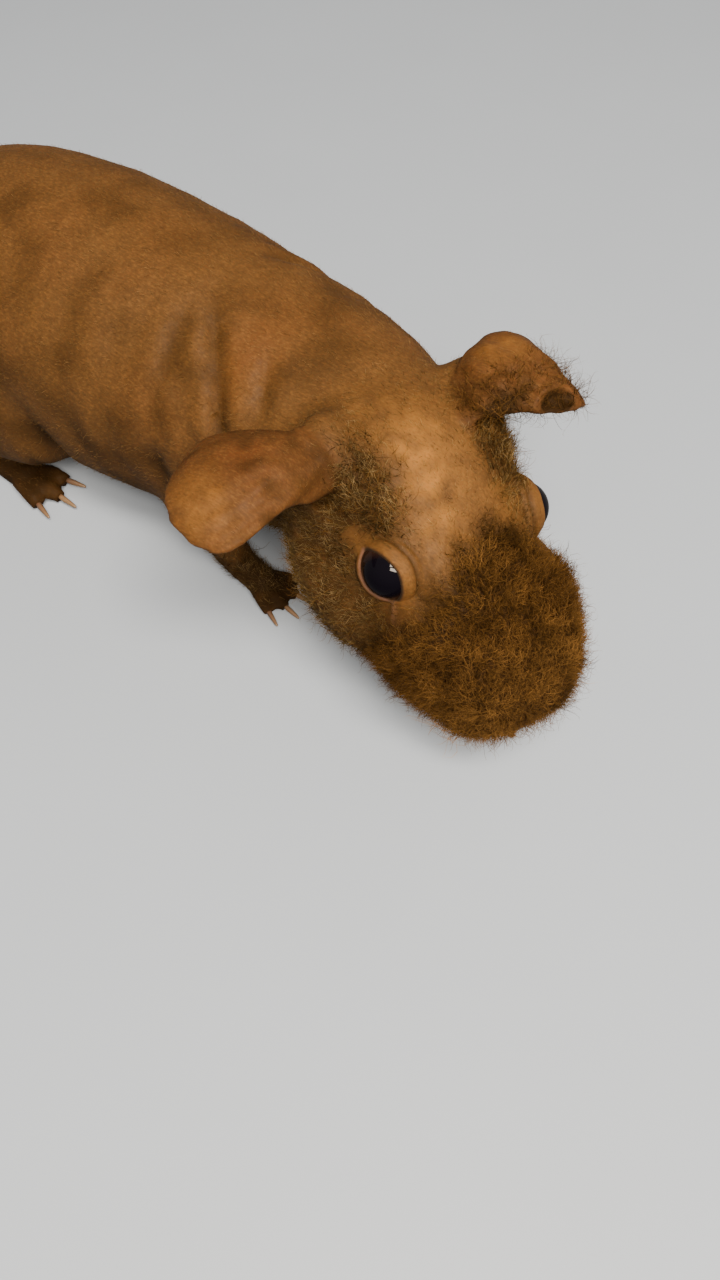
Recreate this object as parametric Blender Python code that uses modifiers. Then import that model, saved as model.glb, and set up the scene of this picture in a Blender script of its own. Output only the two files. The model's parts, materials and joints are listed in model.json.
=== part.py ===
"""A young skinny pig, the nearly hairless breed of guinea pig, life size and still.

It stands on its four feet with its head low, turned to its right and a little tilted. It faces
-Y, its left is +X, and the floor is z = 0. The flesh is modelled whole as one smooth form, then
parted by thin cuts into torso, neck, head, legs and feet. Lengths are in metres.
"""

import math

import bmesh
import bpy
import numpy as np
from mathutils import Matrix, Vector
from mathutils.kdtree import KDTree

MM = 0.001
GAP = 0.3 * MM  # between parts that touch

# How fine the whole flesh is modelled, and how many triangles are kept of it
FLESH_CELL = 0.8 * MM
FLESH_SMOOTHINGS = 26
FLESH_TRIANGLES = 4880
HEAD_SHARE = 0.45  # how much more of them the head and neck keep

# Where the head is carried: the point between its eyes, and how it is turned
HEAD_PLACE = Vector((-15.2, -46.0, 42.3)) * MM
HEAD_TURN = math.radians(-23.5)
HEAD_NOD = math.radians(28)
HEAD_TILT = math.radians(5)
HEAD_POSE = (
    Matrix.Translation(HEAD_PLACE)
    @ Matrix.Rotation(HEAD_TURN, 4, "Z")
    @ Matrix.Rotation(HEAD_NOD, 4, "X")
    @ Matrix.Rotation(HEAD_TILT, 4, "Y")
)

# Sections across the trunk from the rump to the neck, in millimetres: back along Y, sideways,
# height of the middle, half width, depth above and below the middle, fullness above and below
TRUNK_SECTIONS = (
    (111.0, 0.0, 32.0, 5.0, 6.0, 6.0, 2.0, 2.0),
    (108.0, 0.0, 32.0, 14.5, 15.5, 14.0, 2.0, 2.0),
    (99.0, 0.0, 33.5, 23.0, 24.5, 21.5, 2.0, 2.1),
    (85.0, 0.0, 35.5, 28.5, 30.0, 26.5, 2.0, 2.2),
    (62.0, 0.0, 37.0, 31.5, 31.6, 30.0, 2.0, 2.3),
    (38.0, 0.0, 37.5, 31.5, 30.0, 31.0, 2.0, 2.3),
    (16.0, 0.0, 38.5, 29.0, 27.0, 30.0, 2.0, 2.2),
    (-2.0, -0.5, 39.5, 26.0, 24.0, 27.0, 2.0, 2.1),
    (-16.0, -3.0, 40.0, 22.8, 22.8, 23.0, 2.0, 2.0),
    (-29.0, -7.5, 40.0, 18.8, 20.4, 18.5, 2.0, 2.0),
)
# Sections across the head from nose to nape, in the head's own frame: back from between the
# eyes, and then as for the trunk
HEAD_SECTIONS = (
    (-38.2, 0.0, -7.2, 5.0, 3.8, 4.4, 2.3, 2.0),
    (-37.0, 0.0, -7.8, 9.0, 7.0, 7.2, 2.4, 2.0),
    (-34.0, 0.0, -8.6, 13.6, 10.8, 9.6, 2.7, 2.0),
    (-27.0, 0.0, -9.0, 18.0, 14.8, 11.6, 2.9, 2.0),
    (-18.0, 0.0, -9.4, 20.4, 17.6, 13.4, 3.0, 2.1),
    (-9.0, 0.0, -9.6, 20.8, 19.4, 15.8, 2.8, 2.2),
    (0.0, 0.0, -9.5, 20.4, 20.0, 17.4, 2.6, 2.2),
    (10.0, 0.0, -8.5, 21.8, 20.6, 18.6, 2.5, 2.1),
    (20.0, 0.0, -7.5, 22.4, 19.6, 18.6, 2.2, 2.1),
    (30.0, 0.0, -8.5, 19.6, 15.4, 16.0, 2.0, 2.0),
    (39.0, 0.0, -12.0, 14.0, 9.0, 12.0, 2.0, 2.0),
)
RING_POINTS = 40
RINGS_BETWEEN = 6

# Rounded masses on the left of the head, in its own frame: middle and half sizes in millimetres
HEAD_MASSES = {
    "cheek": ((13.6, 5.0, -15.0), (11.8, 20.0, 11.0)),
    "jaw": ((7.4, -9.0, -18.5), (9.4, 19.0, 7.4)),
    "lip_pad": ((6.0, -25.8, -12.4), (8.6, 9.8, 7.2)),
    "chin": ((1.8, -23.5, -20.8), (5.8, 7.0, 3.4)),
    "brow": ((13.4, 2.0, 4.0), (5.6, 10.5, 5.0)),
    "ear_root": ((16.0, 23.0, 5.0), (6.4, 8.5, 5.6)),
}

# The eye: an eyeball with a steeper cornea, which looks out, forward and up
EYE_PLACE = Vector((13.2, 0.0, 1.2)) * MM
EYE_OUTLOOK = Vector((0.84, -0.30, 0.45)).normalized()
EYE_RADIUS = 6.0 * MM
CORNEA_RADIUS = 5.2 * MM
CORNEA_OUT = 1.7 * MM
LID_THICKNESS = 0.8 * MM
LID_OPENING = (5.7 * MM, 4.3 * MM)  # half length and half height of the slit
LID_SLOPE = math.radians(14)  # how far the slit's front end dips below the head's own level
LID_REACH = (math.radians(52), math.radians(84))  # full lid up to the first, none past the second
LID_CREASE = (math.radians(70), math.radians(7), 0.6 * MM)  # where, how wide, how deep

# The ear, a petal that is rolled up at its root
EAR_ROOT = {"left": Vector((18.5, 30.5, 8.5)) * MM, "right": Vector((17.0, 23.5, 6.5)) * MM}
EAR_LENGTH = {"left": 24.2 * MM, "right": 31.5 * MM}
EAR_HALF_WIDTHS = {  # of its length, from root to tip
    "left": (0.66, 0.78, 0.76, 0.65, 0.52, 0.46, 0.43),
    "right": (0.32, 0.33, 0.34, 0.39, 0.46, 0.49, 0.46),
}
EAR_ROLLS = {  # degrees that half its width is rolled round
    "left": (86, 60, 54, 63, 68, 66, 70),
    "right": (112, 84, 60, 50, 46, 44, 42),
}
EAR_THICKNESS = 1.7 * MM
EAR_GRID = (15, 9)
EAR_END = (0.72, 0.92)  # share of its length where its round end starts, and how far it closes
EAR_DROOP = {"left": (-48, 32), "right": (-16, 52)}  # degrees below level at root and tip
EAR_SWEEP = {"left": (-48, -72), "right": (14, 0)}  # degrees back of sideways at root and tip
EAR_FACING = {"left": (-51, -28), "right": (-66, -62)}  # degrees above forward, at root and tip
EAR_TRIANGLES = 550
EAR_HOLLOW = ((19.6, 18.0, 1.5), (3.0, 4.2, 3.8))  # the way into the ear, on the head's left

# The mouth, nostrils and the groove between them, on the head's left side in its own frame
NOSTRIL = ((3.2, -36.9, -8.0), (1.1, 2.2, 1.5))
GROOVE_RADIUS = 0.6 * MM
MOUTH_LINE = ((0.0, -35.4, -17.4), (4.0, -34.2, -18.2), (8.4, -30.4, -18.2), (11.8, -25.6, -17.0))
LIP_CLEFT = ((0.0, -38.0, -9.5), (0.0, -37.6, -13.5), (0.0, -36.0, -17.4))

# Legs, on the left side, as tubes through points with a radius at each, in millimetres
FRONT_LEG = (
    ((17.5, 9.0, 32.0), 10.5),
    ((21.0, 14.0, 22.0), 8.4),
    ((21.0, 11.0, 14.0), 6.0),
    ((20.2, 7.0, 8.5), 4.6),
    ((20.0, 4.5, 5.0), 4.0),
    ((20.0, 3.0, 3.6), 3.6),
)
HIND_LEG = (
    ((20.0, 72.0, 30.0), 14.0),
    ((25.0, 56.0, 22.0), 9.5),
    ((26.5, 67.0, 15.0), 7.2),
    ((26.5, 79.0, 9.6), 5.3),
    ((26.3, 86.0, 6.0), 4.3),
    ((26.3, 88.0, 4.6), 4.0),
)
THIGH = ((22.0, 68.0, 27.0), (13.0, 21.0, 19.0))
# Feet, the same way, from the heel to the ball of the foot
FRONT_FOOT = (((20.0, 5.0, 4.4), 3.8), ((20.2, 0.0, 3.1), 3.9), ((20.5, -4.0, 2.4), 3.7))
HIND_FOOT = (
    ((26.3, 87.0, 4.4), 4.0),
    ((26.5, 79.0, 3.2), 3.9),
    ((27.0, 70.0, 2.6), 4.1),
    ((27.5, 63.0, 2.4), 4.1),
)
TOES = {  # how each toe points, in degrees outwards, and its length in millimetres
    "front": ((-24, 5.4), (-8, 7.2), (8, 7.2), (25, 5.2)),
    "hind": ((-16, 7.8), (0, 10.0), (16, 7.6)),
}
TOE_RADIUS = {"front": 1.6 * MM, "hind": 2.05 * MM}
TOE_SPACING = {"front": 2.2 * MM, "hind": 2.8 * MM}
CLAW_LENGTH = {"front": 3.6 * MM, "hind": 4.6 * MM}
CLAW_RADIUS = {"front": 0.75 * MM, "hind": 0.95 * MM}
CLAW_SUNK = 1.0 * MM
CLAW_RINGS = 5
CLAW_SIDES = 6
ANKLE_HEIGHT = {"front": 7.2 * MM, "hind": 7.8 * MM}
FOOT_CELL = 0.42 * MM
FOOT_SMOOTHINGS = 7
FOOT_TRIANGLES = {"front": 440, "hind": 480}

# Where the flesh is parted: the regions that are legs, and planes by a point and the way back
LEG_REGIONS = {
    "front": ((25.5, 8.0, 15.5), (11.0, 14.0, 19.0)),
    "hind": ((28.5, 70.0, 19.0), (13.5, 26.0, 22.5)),
}
HEAD_PLANE = ((-3.0, -22.0, 56.0), (0.38, 0.88, 0.28))
NECK_PLANE = ((0.0, -6.0, 40.0), (0.12, 0.95, 0.28))
FAR = 400 * MM

# Skin folds: where each lies along the body, from which to which height angle it runs, and its form
FOLDS = (  # side (+1 left), back along Y, lean per radian, from and to degrees, width, depth in mm
    (-1, 0.0, 10.0, -30, 82, 2.3, 1.7),
    (-1, -8.0, 13.0, -20, 66, 2.0, 1.1),
    (-1, 18.0, 4.0, -30, 66, 2.8, 1.3),
    (1, -2.0, 8.0, -30, 60, 2.6, 1.1),
    (1, 16.0, 4.0, -25, 50, 2.8, 0.9),
    (-1, 44.0, 8.0, -60, -5, 3.4, 1.1),
    (1, 44.0, 8.0, -60, -5, 3.4, 1.1),
)

# Colours, roughness: brown skin, dark glossy eyes, horn-coloured claws
FINISHES = {
    "skin": ((0.235, 0.125, 0.066), 0.62),
    "ear": ((0.300, 0.150, 0.080), 0.55),
    "eye": ((0.010, 0.006, 0.006), 0.08),
    "claw": ((0.200, 0.130, 0.085), 0.45),
}


def clear_scene():
    for obj in list(bpy.data.objects):
        bpy.data.objects.remove(obj, do_unlink=True)


def collection(name):
    made = bpy.data.collections.new(name)
    bpy.context.scene.collection.children.link(made)
    return made


def finish(name):
    """The Principled material of that name, made once."""
    material = bpy.data.materials.get(name)
    if material is None:
        colour, roughness = FINISHES[name]
        material = bpy.data.materials.new(name)
        material.use_nodes = True
        shader = material.node_tree.nodes["Principled BSDF"]
        shader.inputs["Base Color"].default_value = (*colour, 1.0)
        shader.inputs["Roughness"].default_value = roughness
        shader.inputs["Metallic"].default_value = 0.0
    return material


def object_of(name, form, where):
    """A new object from a bmesh, in the collection where."""
    mesh = bpy.data.meshes.new(name)
    form.normal_update()
    form.to_mesh(mesh)
    form.free()
    obj = bpy.data.objects.new(name, mesh)
    where.objects.link(obj)
    return obj


def settle(obj):
    """Makes an object's modifiers part of its mesh."""
    graph = bpy.context.evaluated_depsgraph_get()
    mesh = bpy.data.meshes.new_from_object(obj.evaluated_get(graph))
    obj.modifiers.clear()
    obj.data = mesh
    return obj


def discard(*objects):
    for obj in objects:
        bpy.data.objects.remove(obj, do_unlink=True)


def copy_of(obj, name, where):
    twin = bpy.data.objects.new(name, obj.data.copy())
    twin.matrix_world = obj.matrix_world.copy()
    where.objects.link(twin)
    return twin


def boolean(obj, operation, tool):
    """Cuts or joins obj by tool, which may be one object or a collection."""
    uncut = obj.data
    for solver in ("EXACT", "MANIFOLD"):
        modifier = obj.modifiers.new(operation.lower(), "BOOLEAN")
        modifier.operation = operation
        modifier.solver = solver
        if isinstance(tool, bpy.types.Collection):
            modifier.operand_type = "COLLECTION"
            modifier.collection = tool
        else:
            modifier.object = tool
        settle(obj)
        if operation != "DIFFERENCE" or len(obj.data.polygons) > len(uncut.polygons) / 2:
            return obj
        obj.data = uncut
        print(obj.name, "was cut again by", tool.name)
    raise RuntimeError(f"{obj.name} can't be cut by {tool.name}")


def keep_largest(obj):
    """Leaves only the largest surface of a mesh whose faces join edge to edge."""
    form = bmesh.new()
    form.from_mesh(obj.data)
    waiting = set(form.faces)
    groups = []
    while waiting:
        group, front = [], [waiting.pop()]
        while front:
            face = front.pop()
            group.append(face)
            for edge in face.edges:
                for other in edge.link_faces:
                    if other in waiting:
                        waiting.remove(other)
                        front.append(other)
        groups.append(group)
    groups.sort(key=len)
    for group in groups[:-1]:
        bmesh.ops.delete(form, geom=group, context="FACES")
    form.to_mesh(obj.data)
    form.free()
    return obj


def ellipsoid(name, middle, half_sizes, where, pose=Matrix(), turn=Matrix()):
    """A ball stretched to half_sizes, turned, and set at middle; pose carries it to the world."""
    form = bmesh.new()
    bmesh.ops.create_uvsphere(form, u_segments=32, v_segments=20, radius=1.0)
    form.transform(pose @ Matrix.Translation(middle) @ turn @ Matrix.Diagonal((*half_sizes, 1.0)))
    return object_of(name, form, where)


def tube(name, points, radii, where, sides=3, pose=Matrix(), steps=5):
    """A round tube along a smooth curve through points, as a closed mesh."""
    curve = bpy.data.curves.new(name, "CURVE")
    curve.dimensions = "3D"
    curve.bevel_depth = 1.0
    curve.bevel_resolution = sides
    curve.use_fill_caps = True
    curve.resolution_u = 6
    spline = curve.splines.new("POLY")
    path, widths = smooth_path(points, radii, steps)
    spline.points.add(len(path) - 1)
    for knot, at, radius in zip(spline.points, path, widths):
        knot.co = (*at, 1.0)
        knot.radius = radius
    holder = bpy.data.objects.new(name + "_curve", curve)
    where.objects.link(holder)
    graph = bpy.context.evaluated_depsgraph_get()
    mesh = bpy.data.meshes.new_from_object(holder.evaluated_get(graph))
    discard(holder)
    form = bmesh.new()
    form.from_mesh(mesh)
    bmesh.ops.remove_doubles(form, verts=form.verts, dist=0.01 * MM)
    form.transform(pose)
    bmesh.ops.recalc_face_normals(form, faces=form.faces)
    return object_of(name, form, where)


def smooth_path(points, radii, steps=5):
    """Points and radii on a Catmull-Rom curve through the given ones."""
    knots = np.array([(*p, r) for p, r in zip(points, radii)], float)
    knots = np.vstack([2 * knots[0] - knots[1], knots, 2 * knots[-1] - knots[-2]])
    out = []
    for i in range(1, len(knots) - 2):
        a, b, c, d = knots[i - 1 : i + 3]
        for t in np.arange(steps) / steps:
            out.append(spline_at(a, b, c, d, t))
    out.append(knots[-2])
    out = np.array(out)
    return out[:, :3], out[:, 3]


def spline_at(a, b, c, d, t):
    """The Catmull-Rom curve between b and c, at share t."""
    bend = 2 * a - 5 * b + 4 * c - d
    twist = -a + 3 * b - 3 * c + d
    return 0.5 * (2 * b + (c - a) * t + bend * t * t + twist * t**3)


def sections_between(sections):
    """The given sections with smooth ones between them."""
    values = np.array(sections, float)
    values = np.vstack([2 * values[0] - values[1], values, 2 * values[-1] - values[-2]])
    rings = []
    for i in range(1, len(values) - 2):
        a, b, c, d = values[i - 1 : i + 3]
        for t in np.arange(RINGS_BETWEEN) / RINGS_BETWEEN:
            rings.append(spline_at(a, b, c, d, t))
    rings.append(values[-2])
    return np.array(rings) * ((MM,) * 6 + (1.0, 1.0))


def ring_frames(sections):
    """For each smooth section: its middle, the direction to its left, and its sizes."""
    rings = sections_between(sections)
    middles = np.stack([rings[:, 1], rings[:, 0], rings[:, 2]], 1)
    along = np.gradient(middles, axis=0)
    along[:, 2] = 0
    along /= np.linalg.norm(along, axis=1)[:, None]
    forward = along if along[0, 1] < 0 else -along
    left = np.cross((0, 0, 1), forward)
    return middles, left, rings[:, 3:]


def on_ring(middle, left, sizes, angle):
    """The point of a section at angle, from 0 at its left over 90 degrees at its top."""
    half_width, above, below, full_above, full_below = sizes
    over = math.sin(angle) > 0
    power = 2 / (full_above if over else full_below)
    aside = half_width * math.copysign(abs(math.cos(angle)) ** power, math.cos(angle))
    up = (above if over else below) * math.copysign(abs(math.sin(angle)) ** power, math.sin(angle))
    return middle + left * aside + np.array((0, 0, up))


def loft(name, sections, where, pose=Matrix()):
    """A closed form through sections, each an oval with its own depth above and below."""
    middles, left, sizes = ring_frames(sections)
    form = bmesh.new()
    rings = []
    for place in range(len(middles)):
        angles = [2 * math.pi * k / RING_POINTS for k in range(RING_POINTS)]
        points = [on_ring(middles[place], left[place], sizes[place], a) for a in angles]
        rings.append([form.verts.new(p) for p in points])
    for first, second in zip(rings, rings[1:]):
        for k in range(RING_POINTS):
            after = (k + 1) % RING_POINTS
            form.faces.new((first[k], first[after], second[after], second[k]))
    form.faces.new(rings[0])
    form.faces.new(reversed(rings[-1]))
    form.transform(pose)
    bmesh.ops.recalc_face_normals(form, faces=form.faces)
    return object_of(name, form, where)


def mirrored(vector):
    return (-vector[0], vector[1], vector[2])


def on_side(vector, side):
    """A left-hand place carried to side, +1 for left and -1 for right."""
    return Vector(vector) if side > 0 else Vector(mirrored(vector))


def scaled(values):
    return tuple(v * MM for v in values)


def limb(name, knots, side, where):
    """A leg or foot tube on one side, from its knots of place and radius in millimetres."""
    points = [on_side(scaled(place), side) for place, _ in knots]
    return tube(name, points, [radius * MM for _, radius in knots], where)


def flesh_shells(where):
    """All the overlapping closed forms that make up the flesh, apart from the feet and ears."""
    loft("trunk", TRUNK_SECTIONS, where)
    loft("skull", HEAD_SECTIONS, where, HEAD_POSE)
    for side in (1, -1):
        for name, (middle, sizes) in HEAD_MASSES.items():
            place = on_side(scaled(middle), side)
            ellipsoid(name, place, scaled(sizes), where, HEAD_POSE)
        ellipsoid("thigh", on_side(scaled(THIGH[0]), side), scaled(THIGH[1]), where)
        limb("front_leg", FRONT_LEG, side, where)
        limb("hind_leg", HIND_LEG, side, where)


def joined(name, parts, where):
    """One object that holds the meshes of several."""
    form = bmesh.new()
    for part in parts:
        form.from_mesh(part.data)
    return object_of(name, form, where)


def points_of(obj):
    found = np.empty(len(obj.data.vertices) * 3, np.float32)
    obj.data.vertices.foreach_get("co", found)
    return found.reshape(-1, 3).astype(float)


def normals_of(obj):
    found = np.empty(len(obj.data.vertices) * 3, np.float32)
    obj.data.vertices.foreach_get("normal", found)
    return found.reshape(-1, 3).astype(float)


def move_points(obj, points):
    obj.data.vertices.foreach_set("co", points.astype(np.float32).ravel())
    obj.data.update()


def distance_to_path(points, path):
    """How far each point is from the nearest of a path's points."""
    tree = KDTree(len(path))
    for index, place in enumerate(path):
        tree.insert(place, index)
    tree.balance()
    return np.array([tree.find(p)[2] for p in points])


def fold_path(side, back, lean, start, end):
    """A line over the trunk's skin, across the body, that leans back as it goes down."""
    middles, left, sizes = ring_frames(TRUNK_SECTIONS)
    path = []
    for degrees in np.linspace(start, end, 60):
        angle = math.radians(degrees)
        place = (back + lean * (angle - math.radians(start))) * MM
        nearest = int(np.argmin(np.abs(middles[:, 1] - place)))
        across = angle if side > 0 else math.pi - angle
        point = on_ring(middles[nearest], left[nearest], sizes[nearest], across)
        point[1] = place
        path.append(point)
    return np.array(path)


def fold_skin(flesh):
    """Presses the folds in and raises the skin beside them."""
    for side, back, lean, start, end, width, depth in FOLDS:
        points, normals = points_of(flesh), normals_of(flesh)
        path = fold_path(side, back, lean, start, end)
        away = distance_to_path(points, path) / (width * MM)
        ends = np.minimum(
            np.linalg.norm(points - path[0], axis=1), np.linalg.norm(points - path[-1], axis=1)
        )
        fade = np.clip(ends / (9 * MM), 0, 1)
        wave = np.exp(-(away**2)) * 1.35 - np.exp(-((away / 2.2) ** 2)) * 0.55
        move_points(flesh, points - normals * (wave * fade * depth * MM)[:, None])


def eye_pose(side):
    """The frame of an eye in the world: its Z looks out of the head, its X along the lids' slit."""
    outlook = on_side(EYE_OUTLOOK, side)
    along = Vector((0, -math.cos(LID_SLOPE), -math.sin(LID_SLOPE)))
    along = (along - outlook * along.dot(outlook)).normalized()
    across = outlook.cross(along)
    turn = Matrix((along, across, outlook)).transposed().to_4x4()
    return HEAD_POSE @ Matrix.Translation(on_side(EYE_PLACE, side)) @ turn


def eased(low, high, values):
    """0 below low and 1 above high, with a smooth rise between."""
    share = np.clip((values - low) / (high - low), 0, 1)
    return share * share * (3 - 2 * share)


def shape_lids(flesh):
    """Draws the skin round each eye onto a ball, so that the lids are even over the eyeball."""
    crease, spread, depth = LID_CREASE
    for side in (1, -1):
        pose = eye_pose(side)
        middle = np.array(pose.translation)
        outlook = np.array(pose.to_3x3() @ Vector((0, 0, 1)))
        points = points_of(flesh)
        away = points - middle
        distance = np.linalg.norm(away, axis=1)
        angle = np.arccos(np.clip(away @ outlook / distance, -1, 1))
        share = 1 - eased(LID_REACH[0], LID_REACH[1], angle)
        share[distance > EYE_RADIUS * 2.4] = 0
        wanted = EYE_RADIUS + GAP + LID_THICKNESS
        reach = distance + (wanted - distance) * share
        line = np.exp(-(((angle - crease) / spread) ** 2)) * (distance < EYE_RADIUS * 2)
        reach -= depth * line
        move_points(flesh, middle + away * (reach / distance)[:, None])


def thin_out(obj, triangles):
    """Fewer triangles, with more of them kept on the head and neck."""
    points = points_of(obj)
    group = obj.vertex_groups.new(name="fine")
    weights = 0.25 + HEAD_SHARE * np.clip((-10 * MM - points[:, 1]) / (20 * MM), 0, 1)
    for index, weight in enumerate(weights):
        group.add([index], float(weight), "REPLACE")
    modifier = obj.modifiers.new("thin", "DECIMATE")
    modifier.ratio = triangles / sum(len(p.vertices) - 2 for p in obj.data.polygons)
    modifier.vertex_group = group.name
    modifier.invert_vertex_group = True
    modifier.vertex_group_factor = 1.0
    modifier.use_collapse_triangulate = True
    settle(obj)
    obj.vertex_groups.clear()
    return obj


def whole_flesh(where):
    """The flesh in one piece: the shells fused, smoothed, folded and thinned out."""
    shells = collection("shells")
    flesh_shells(shells)
    flesh = joined("flesh", list(shells.objects), where)
    discard(*shells.objects)
    fuse = flesh.modifiers.new("fuse", "REMESH")
    fuse.mode = "VOXEL"
    fuse.voxel_size = FLESH_CELL
    smooth = flesh.modifiers.new("smooth", "SMOOTH")
    smooth.factor = 0.5
    smooth.iterations = FLESH_SMOOTHINGS
    settle(flesh)
    keep_largest(flesh)
    fold_skin(flesh)
    shape_lids(flesh)
    return thin_out(flesh, FLESH_TRIANGLES)


def eyeball(name, radius, cornea, where, pose):
    """An eyeball round the origin of pose, with its cornea towards Z."""
    form = bmesh.new()
    bmesh.ops.create_uvsphere(form, u_segments=18, v_segments=13, radius=1.0)
    for vert in form.verts:
        height = vert.co.normalized().z
        steep = CORNEA_OUT * height + math.sqrt(cornea**2 - CORNEA_OUT**2 * (1 - height**2))
        vert.co *= max(radius, steep)
    form.transform(pose)
    return object_of(name, form, where)


def slit_cutter(name, side, where):
    """A rod the shape of the lids' opening, out along the way the eye looks."""
    form = bmesh.new()
    bmesh.ops.create_cone(
        form, cap_ends=True, segments=28, radius1=1.0, radius2=1.0, depth=EYE_RADIUS * 2
    )
    form.transform(Matrix.Diagonal((LID_OPENING[0], LID_OPENING[1], 1.0, 1.0)))
    form.transform(Matrix.Translation((0, 0, EYE_RADIUS * 1.02)))
    form.transform(eye_pose(side))
    return object_of(name, form, where)


def set_eyes(head, where, tools):
    """Opens the sockets and lids of the head, and puts an eyeball in each."""
    for side, name in ((1, "left"), (-1, "right")):
        pose = eye_pose(side)
        socket = eyeball("socket_" + name, EYE_RADIUS + GAP, CORNEA_RADIUS + GAP, tools, pose)
        boolean(head, "DIFFERENCE", socket)
        boolean(head, "DIFFERENCE", slit_cutter("slit_" + name, side, tools))
        eyeball("eye_" + name, EYE_RADIUS, CORNEA_RADIUS, where, pose)


def along_scale(values, share):
    """The value at share, from 0 to 1, along an evenly spaced scale."""
    place = share * (len(values) - 1)
    return float(np.interp(place, range(len(values)), values))


def ear_points(side_name, side):
    """The ear's middle surface in the head's frame, as rows from root to tip."""
    rows, columns = EAR_GRID
    place = on_side(EAR_ROOT[side_name], side)
    length = EAR_LENGTH[side_name]
    step = length / (rows - 1)
    sheet = []
    for row in range(rows):
        u = row / (rows - 1)
        droop = math.radians(along_scale(EAR_DROOP[side_name], u))
        sweep = math.radians(along_scale(EAR_SWEEP[side_name], u))
        out = Vector((side * math.cos(sweep), math.sin(sweep), 0)) * math.cos(droop)
        out.z = -math.sin(droop)
        facing = math.radians(along_scale(EAR_FACING[side_name], u))
        face = Vector((0, -math.cos(facing), math.sin(facing)))
        face = (face - out * face.dot(out)).normalized()
        across = out.cross(face) * side
        roll = math.radians(along_scale(EAR_ROLLS[side_name], u))
        end = max(0.0, (u - EAR_END[0]) / (1 - EAR_END[0]))
        width = along_scale(EAR_HALF_WIDTHS[side_name], u) * math.sqrt(1 - EAR_END[1] * end**2)
        radius = width * length / roll
        for column in range(columns):
            turn = roll * (2 * column / (columns - 1) - 1)
            lifted = face * radius * (1 - math.cos(turn))
            sheet.append(place + across * radius * math.sin(turn) + lifted)
        place = place + out * step
    return np.array(sheet).reshape(rows, columns, 3)


def ear(name, side_name, thickness, where):
    """A closed ear of one thickness round its middle surface."""
    side = 1 if side_name == "left" else -1
    rows, columns = EAR_GRID
    sheet = ear_points(side_name, side)
    form = bmesh.new()
    verts = [[form.verts.new(p) for p in row] for row in sheet]
    for row in range(rows - 1):
        for column in range(columns - 1):
            corners = (
                verts[row][column],
                verts[row][column + 1],
                verts[row + 1][column + 1],
                verts[row + 1][column],
            )
            form.faces.new(corners if side > 0 else reversed(corners))
    form.transform(HEAD_POSE)
    petal = object_of(name, form, where)
    solid = petal.modifiers.new("thicken", "SOLIDIFY")
    solid.thickness = thickness
    solid.offset = 0.0
    solid.use_even_offset = True
    round_off = petal.modifiers.new("round", "SUBSURF")
    round_off.levels = 1
    round_off.render_levels = 1
    return settle(petal)


def set_ears(head, where, tools):
    """Seats each ear in a slot of the head, and hollows the way into it."""
    for side, name in ((1, "left"), (-1, "right")):
        petal = reduce(ear("ear_" + name, name, EAR_THICKNESS, where), EAR_TRIANGLES)
        slot = copy_of(petal, "ear_slot_" + name, tools)
        move_points(slot, points_of(slot) + normals_of(slot) * GAP * 1.25)
        boolean(head, "DIFFERENCE", slot)
        hollow = on_side(scaled(EAR_HOLLOW[0]), side)
        pit = ellipsoid("ear_pit_" + name, hollow, scaled(EAR_HOLLOW[1]), tools, HEAD_POSE)
        reduce(pit, 240)
        boolean(head, "DIFFERENCE", pit)


def reduce(obj, triangles):
    """Fewer triangles, evenly."""
    modifier = obj.modifiers.new("thin", "DECIMATE")
    modifier.ratio = min(1.0, triangles / sum(len(p.vertices) - 2 for p in obj.data.polygons))
    modifier.use_collapse_triangulate = True
    return settle(obj)


def on_surface(points, obj):
    """The places on obj nearest to points of the head's own frame."""
    found = []
    for point in points:
        hit, place, _, _ = obj.closest_point_on_mesh(HEAD_POSE @ Vector(point))
        found.append(place)
    return found


def cut_groove(name, points, head, tools):
    """A narrow groove along the head's surface nearest to points of its own frame."""
    path = smooth_path([scaled(p) for p in points], [1] * len(points), 3)[0]
    inward = HEAD_POSE.inverted()
    path = [inward @ place for place in on_surface(path, head)]
    groove = tube(name, path, [GROOVE_RADIUS] * len(path), tools, 1, HEAD_POSE, 1)
    boolean(head, "DIFFERENCE", groove)


def cut_mouth(head, tools):
    """The mouth line, the cleft of the upper lip and the nostrils."""
    line = [mirrored(p) for p in reversed(MOUTH_LINE[1:])] + list(MOUTH_LINE)
    cut_groove("mouth_line", line, head, tools)
    cut_groove("lip_cleft", LIP_CLEFT, head, tools)
    for side, name in ((1, "left"), (-1, "right")):
        place = on_side(scaled(NOSTRIL[0]), side)
        lean = Matrix.Rotation(math.radians(-32 * side), 4, "Z")
        hole = ellipsoid("nostril_" + name, place, scaled(NOSTRIL[1]), tools, HEAD_POSE, lean)
        reduce(hole, 120)
        boolean(head, "DIFFERENCE", hole)


def half_space(name, point, back, behind, where):
    """A large block on one side of a plane, kept half a gap away from it."""
    way = Vector(back).normalized() * (1 if behind else -1)
    turn = way.to_track_quat("Z", "Y").to_matrix().to_4x4()
    form = bmesh.new()
    bmesh.ops.create_cube(form, size=2 * FAR)
    form.transform(Matrix.Translation((0, 0, FAR + GAP / 2)))
    form.transform(Matrix.Translation(Vector(scaled(point))) @ turn)
    return object_of(name, form, where)


def sever(obj, names, point, back, where, tools):
    """Parts obj at a plane into the piece in front of it and the one behind."""
    pieces = []
    for name, behind in zip(names, (False, True)):
        piece = copy_of(obj, name, where)
        block = half_space("plane_" + name, point, back, behind, tools)
        pieces.append(keep_largest(boolean(piece, "INTERSECT", block)))
    discard(obj)
    return pieces


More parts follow.
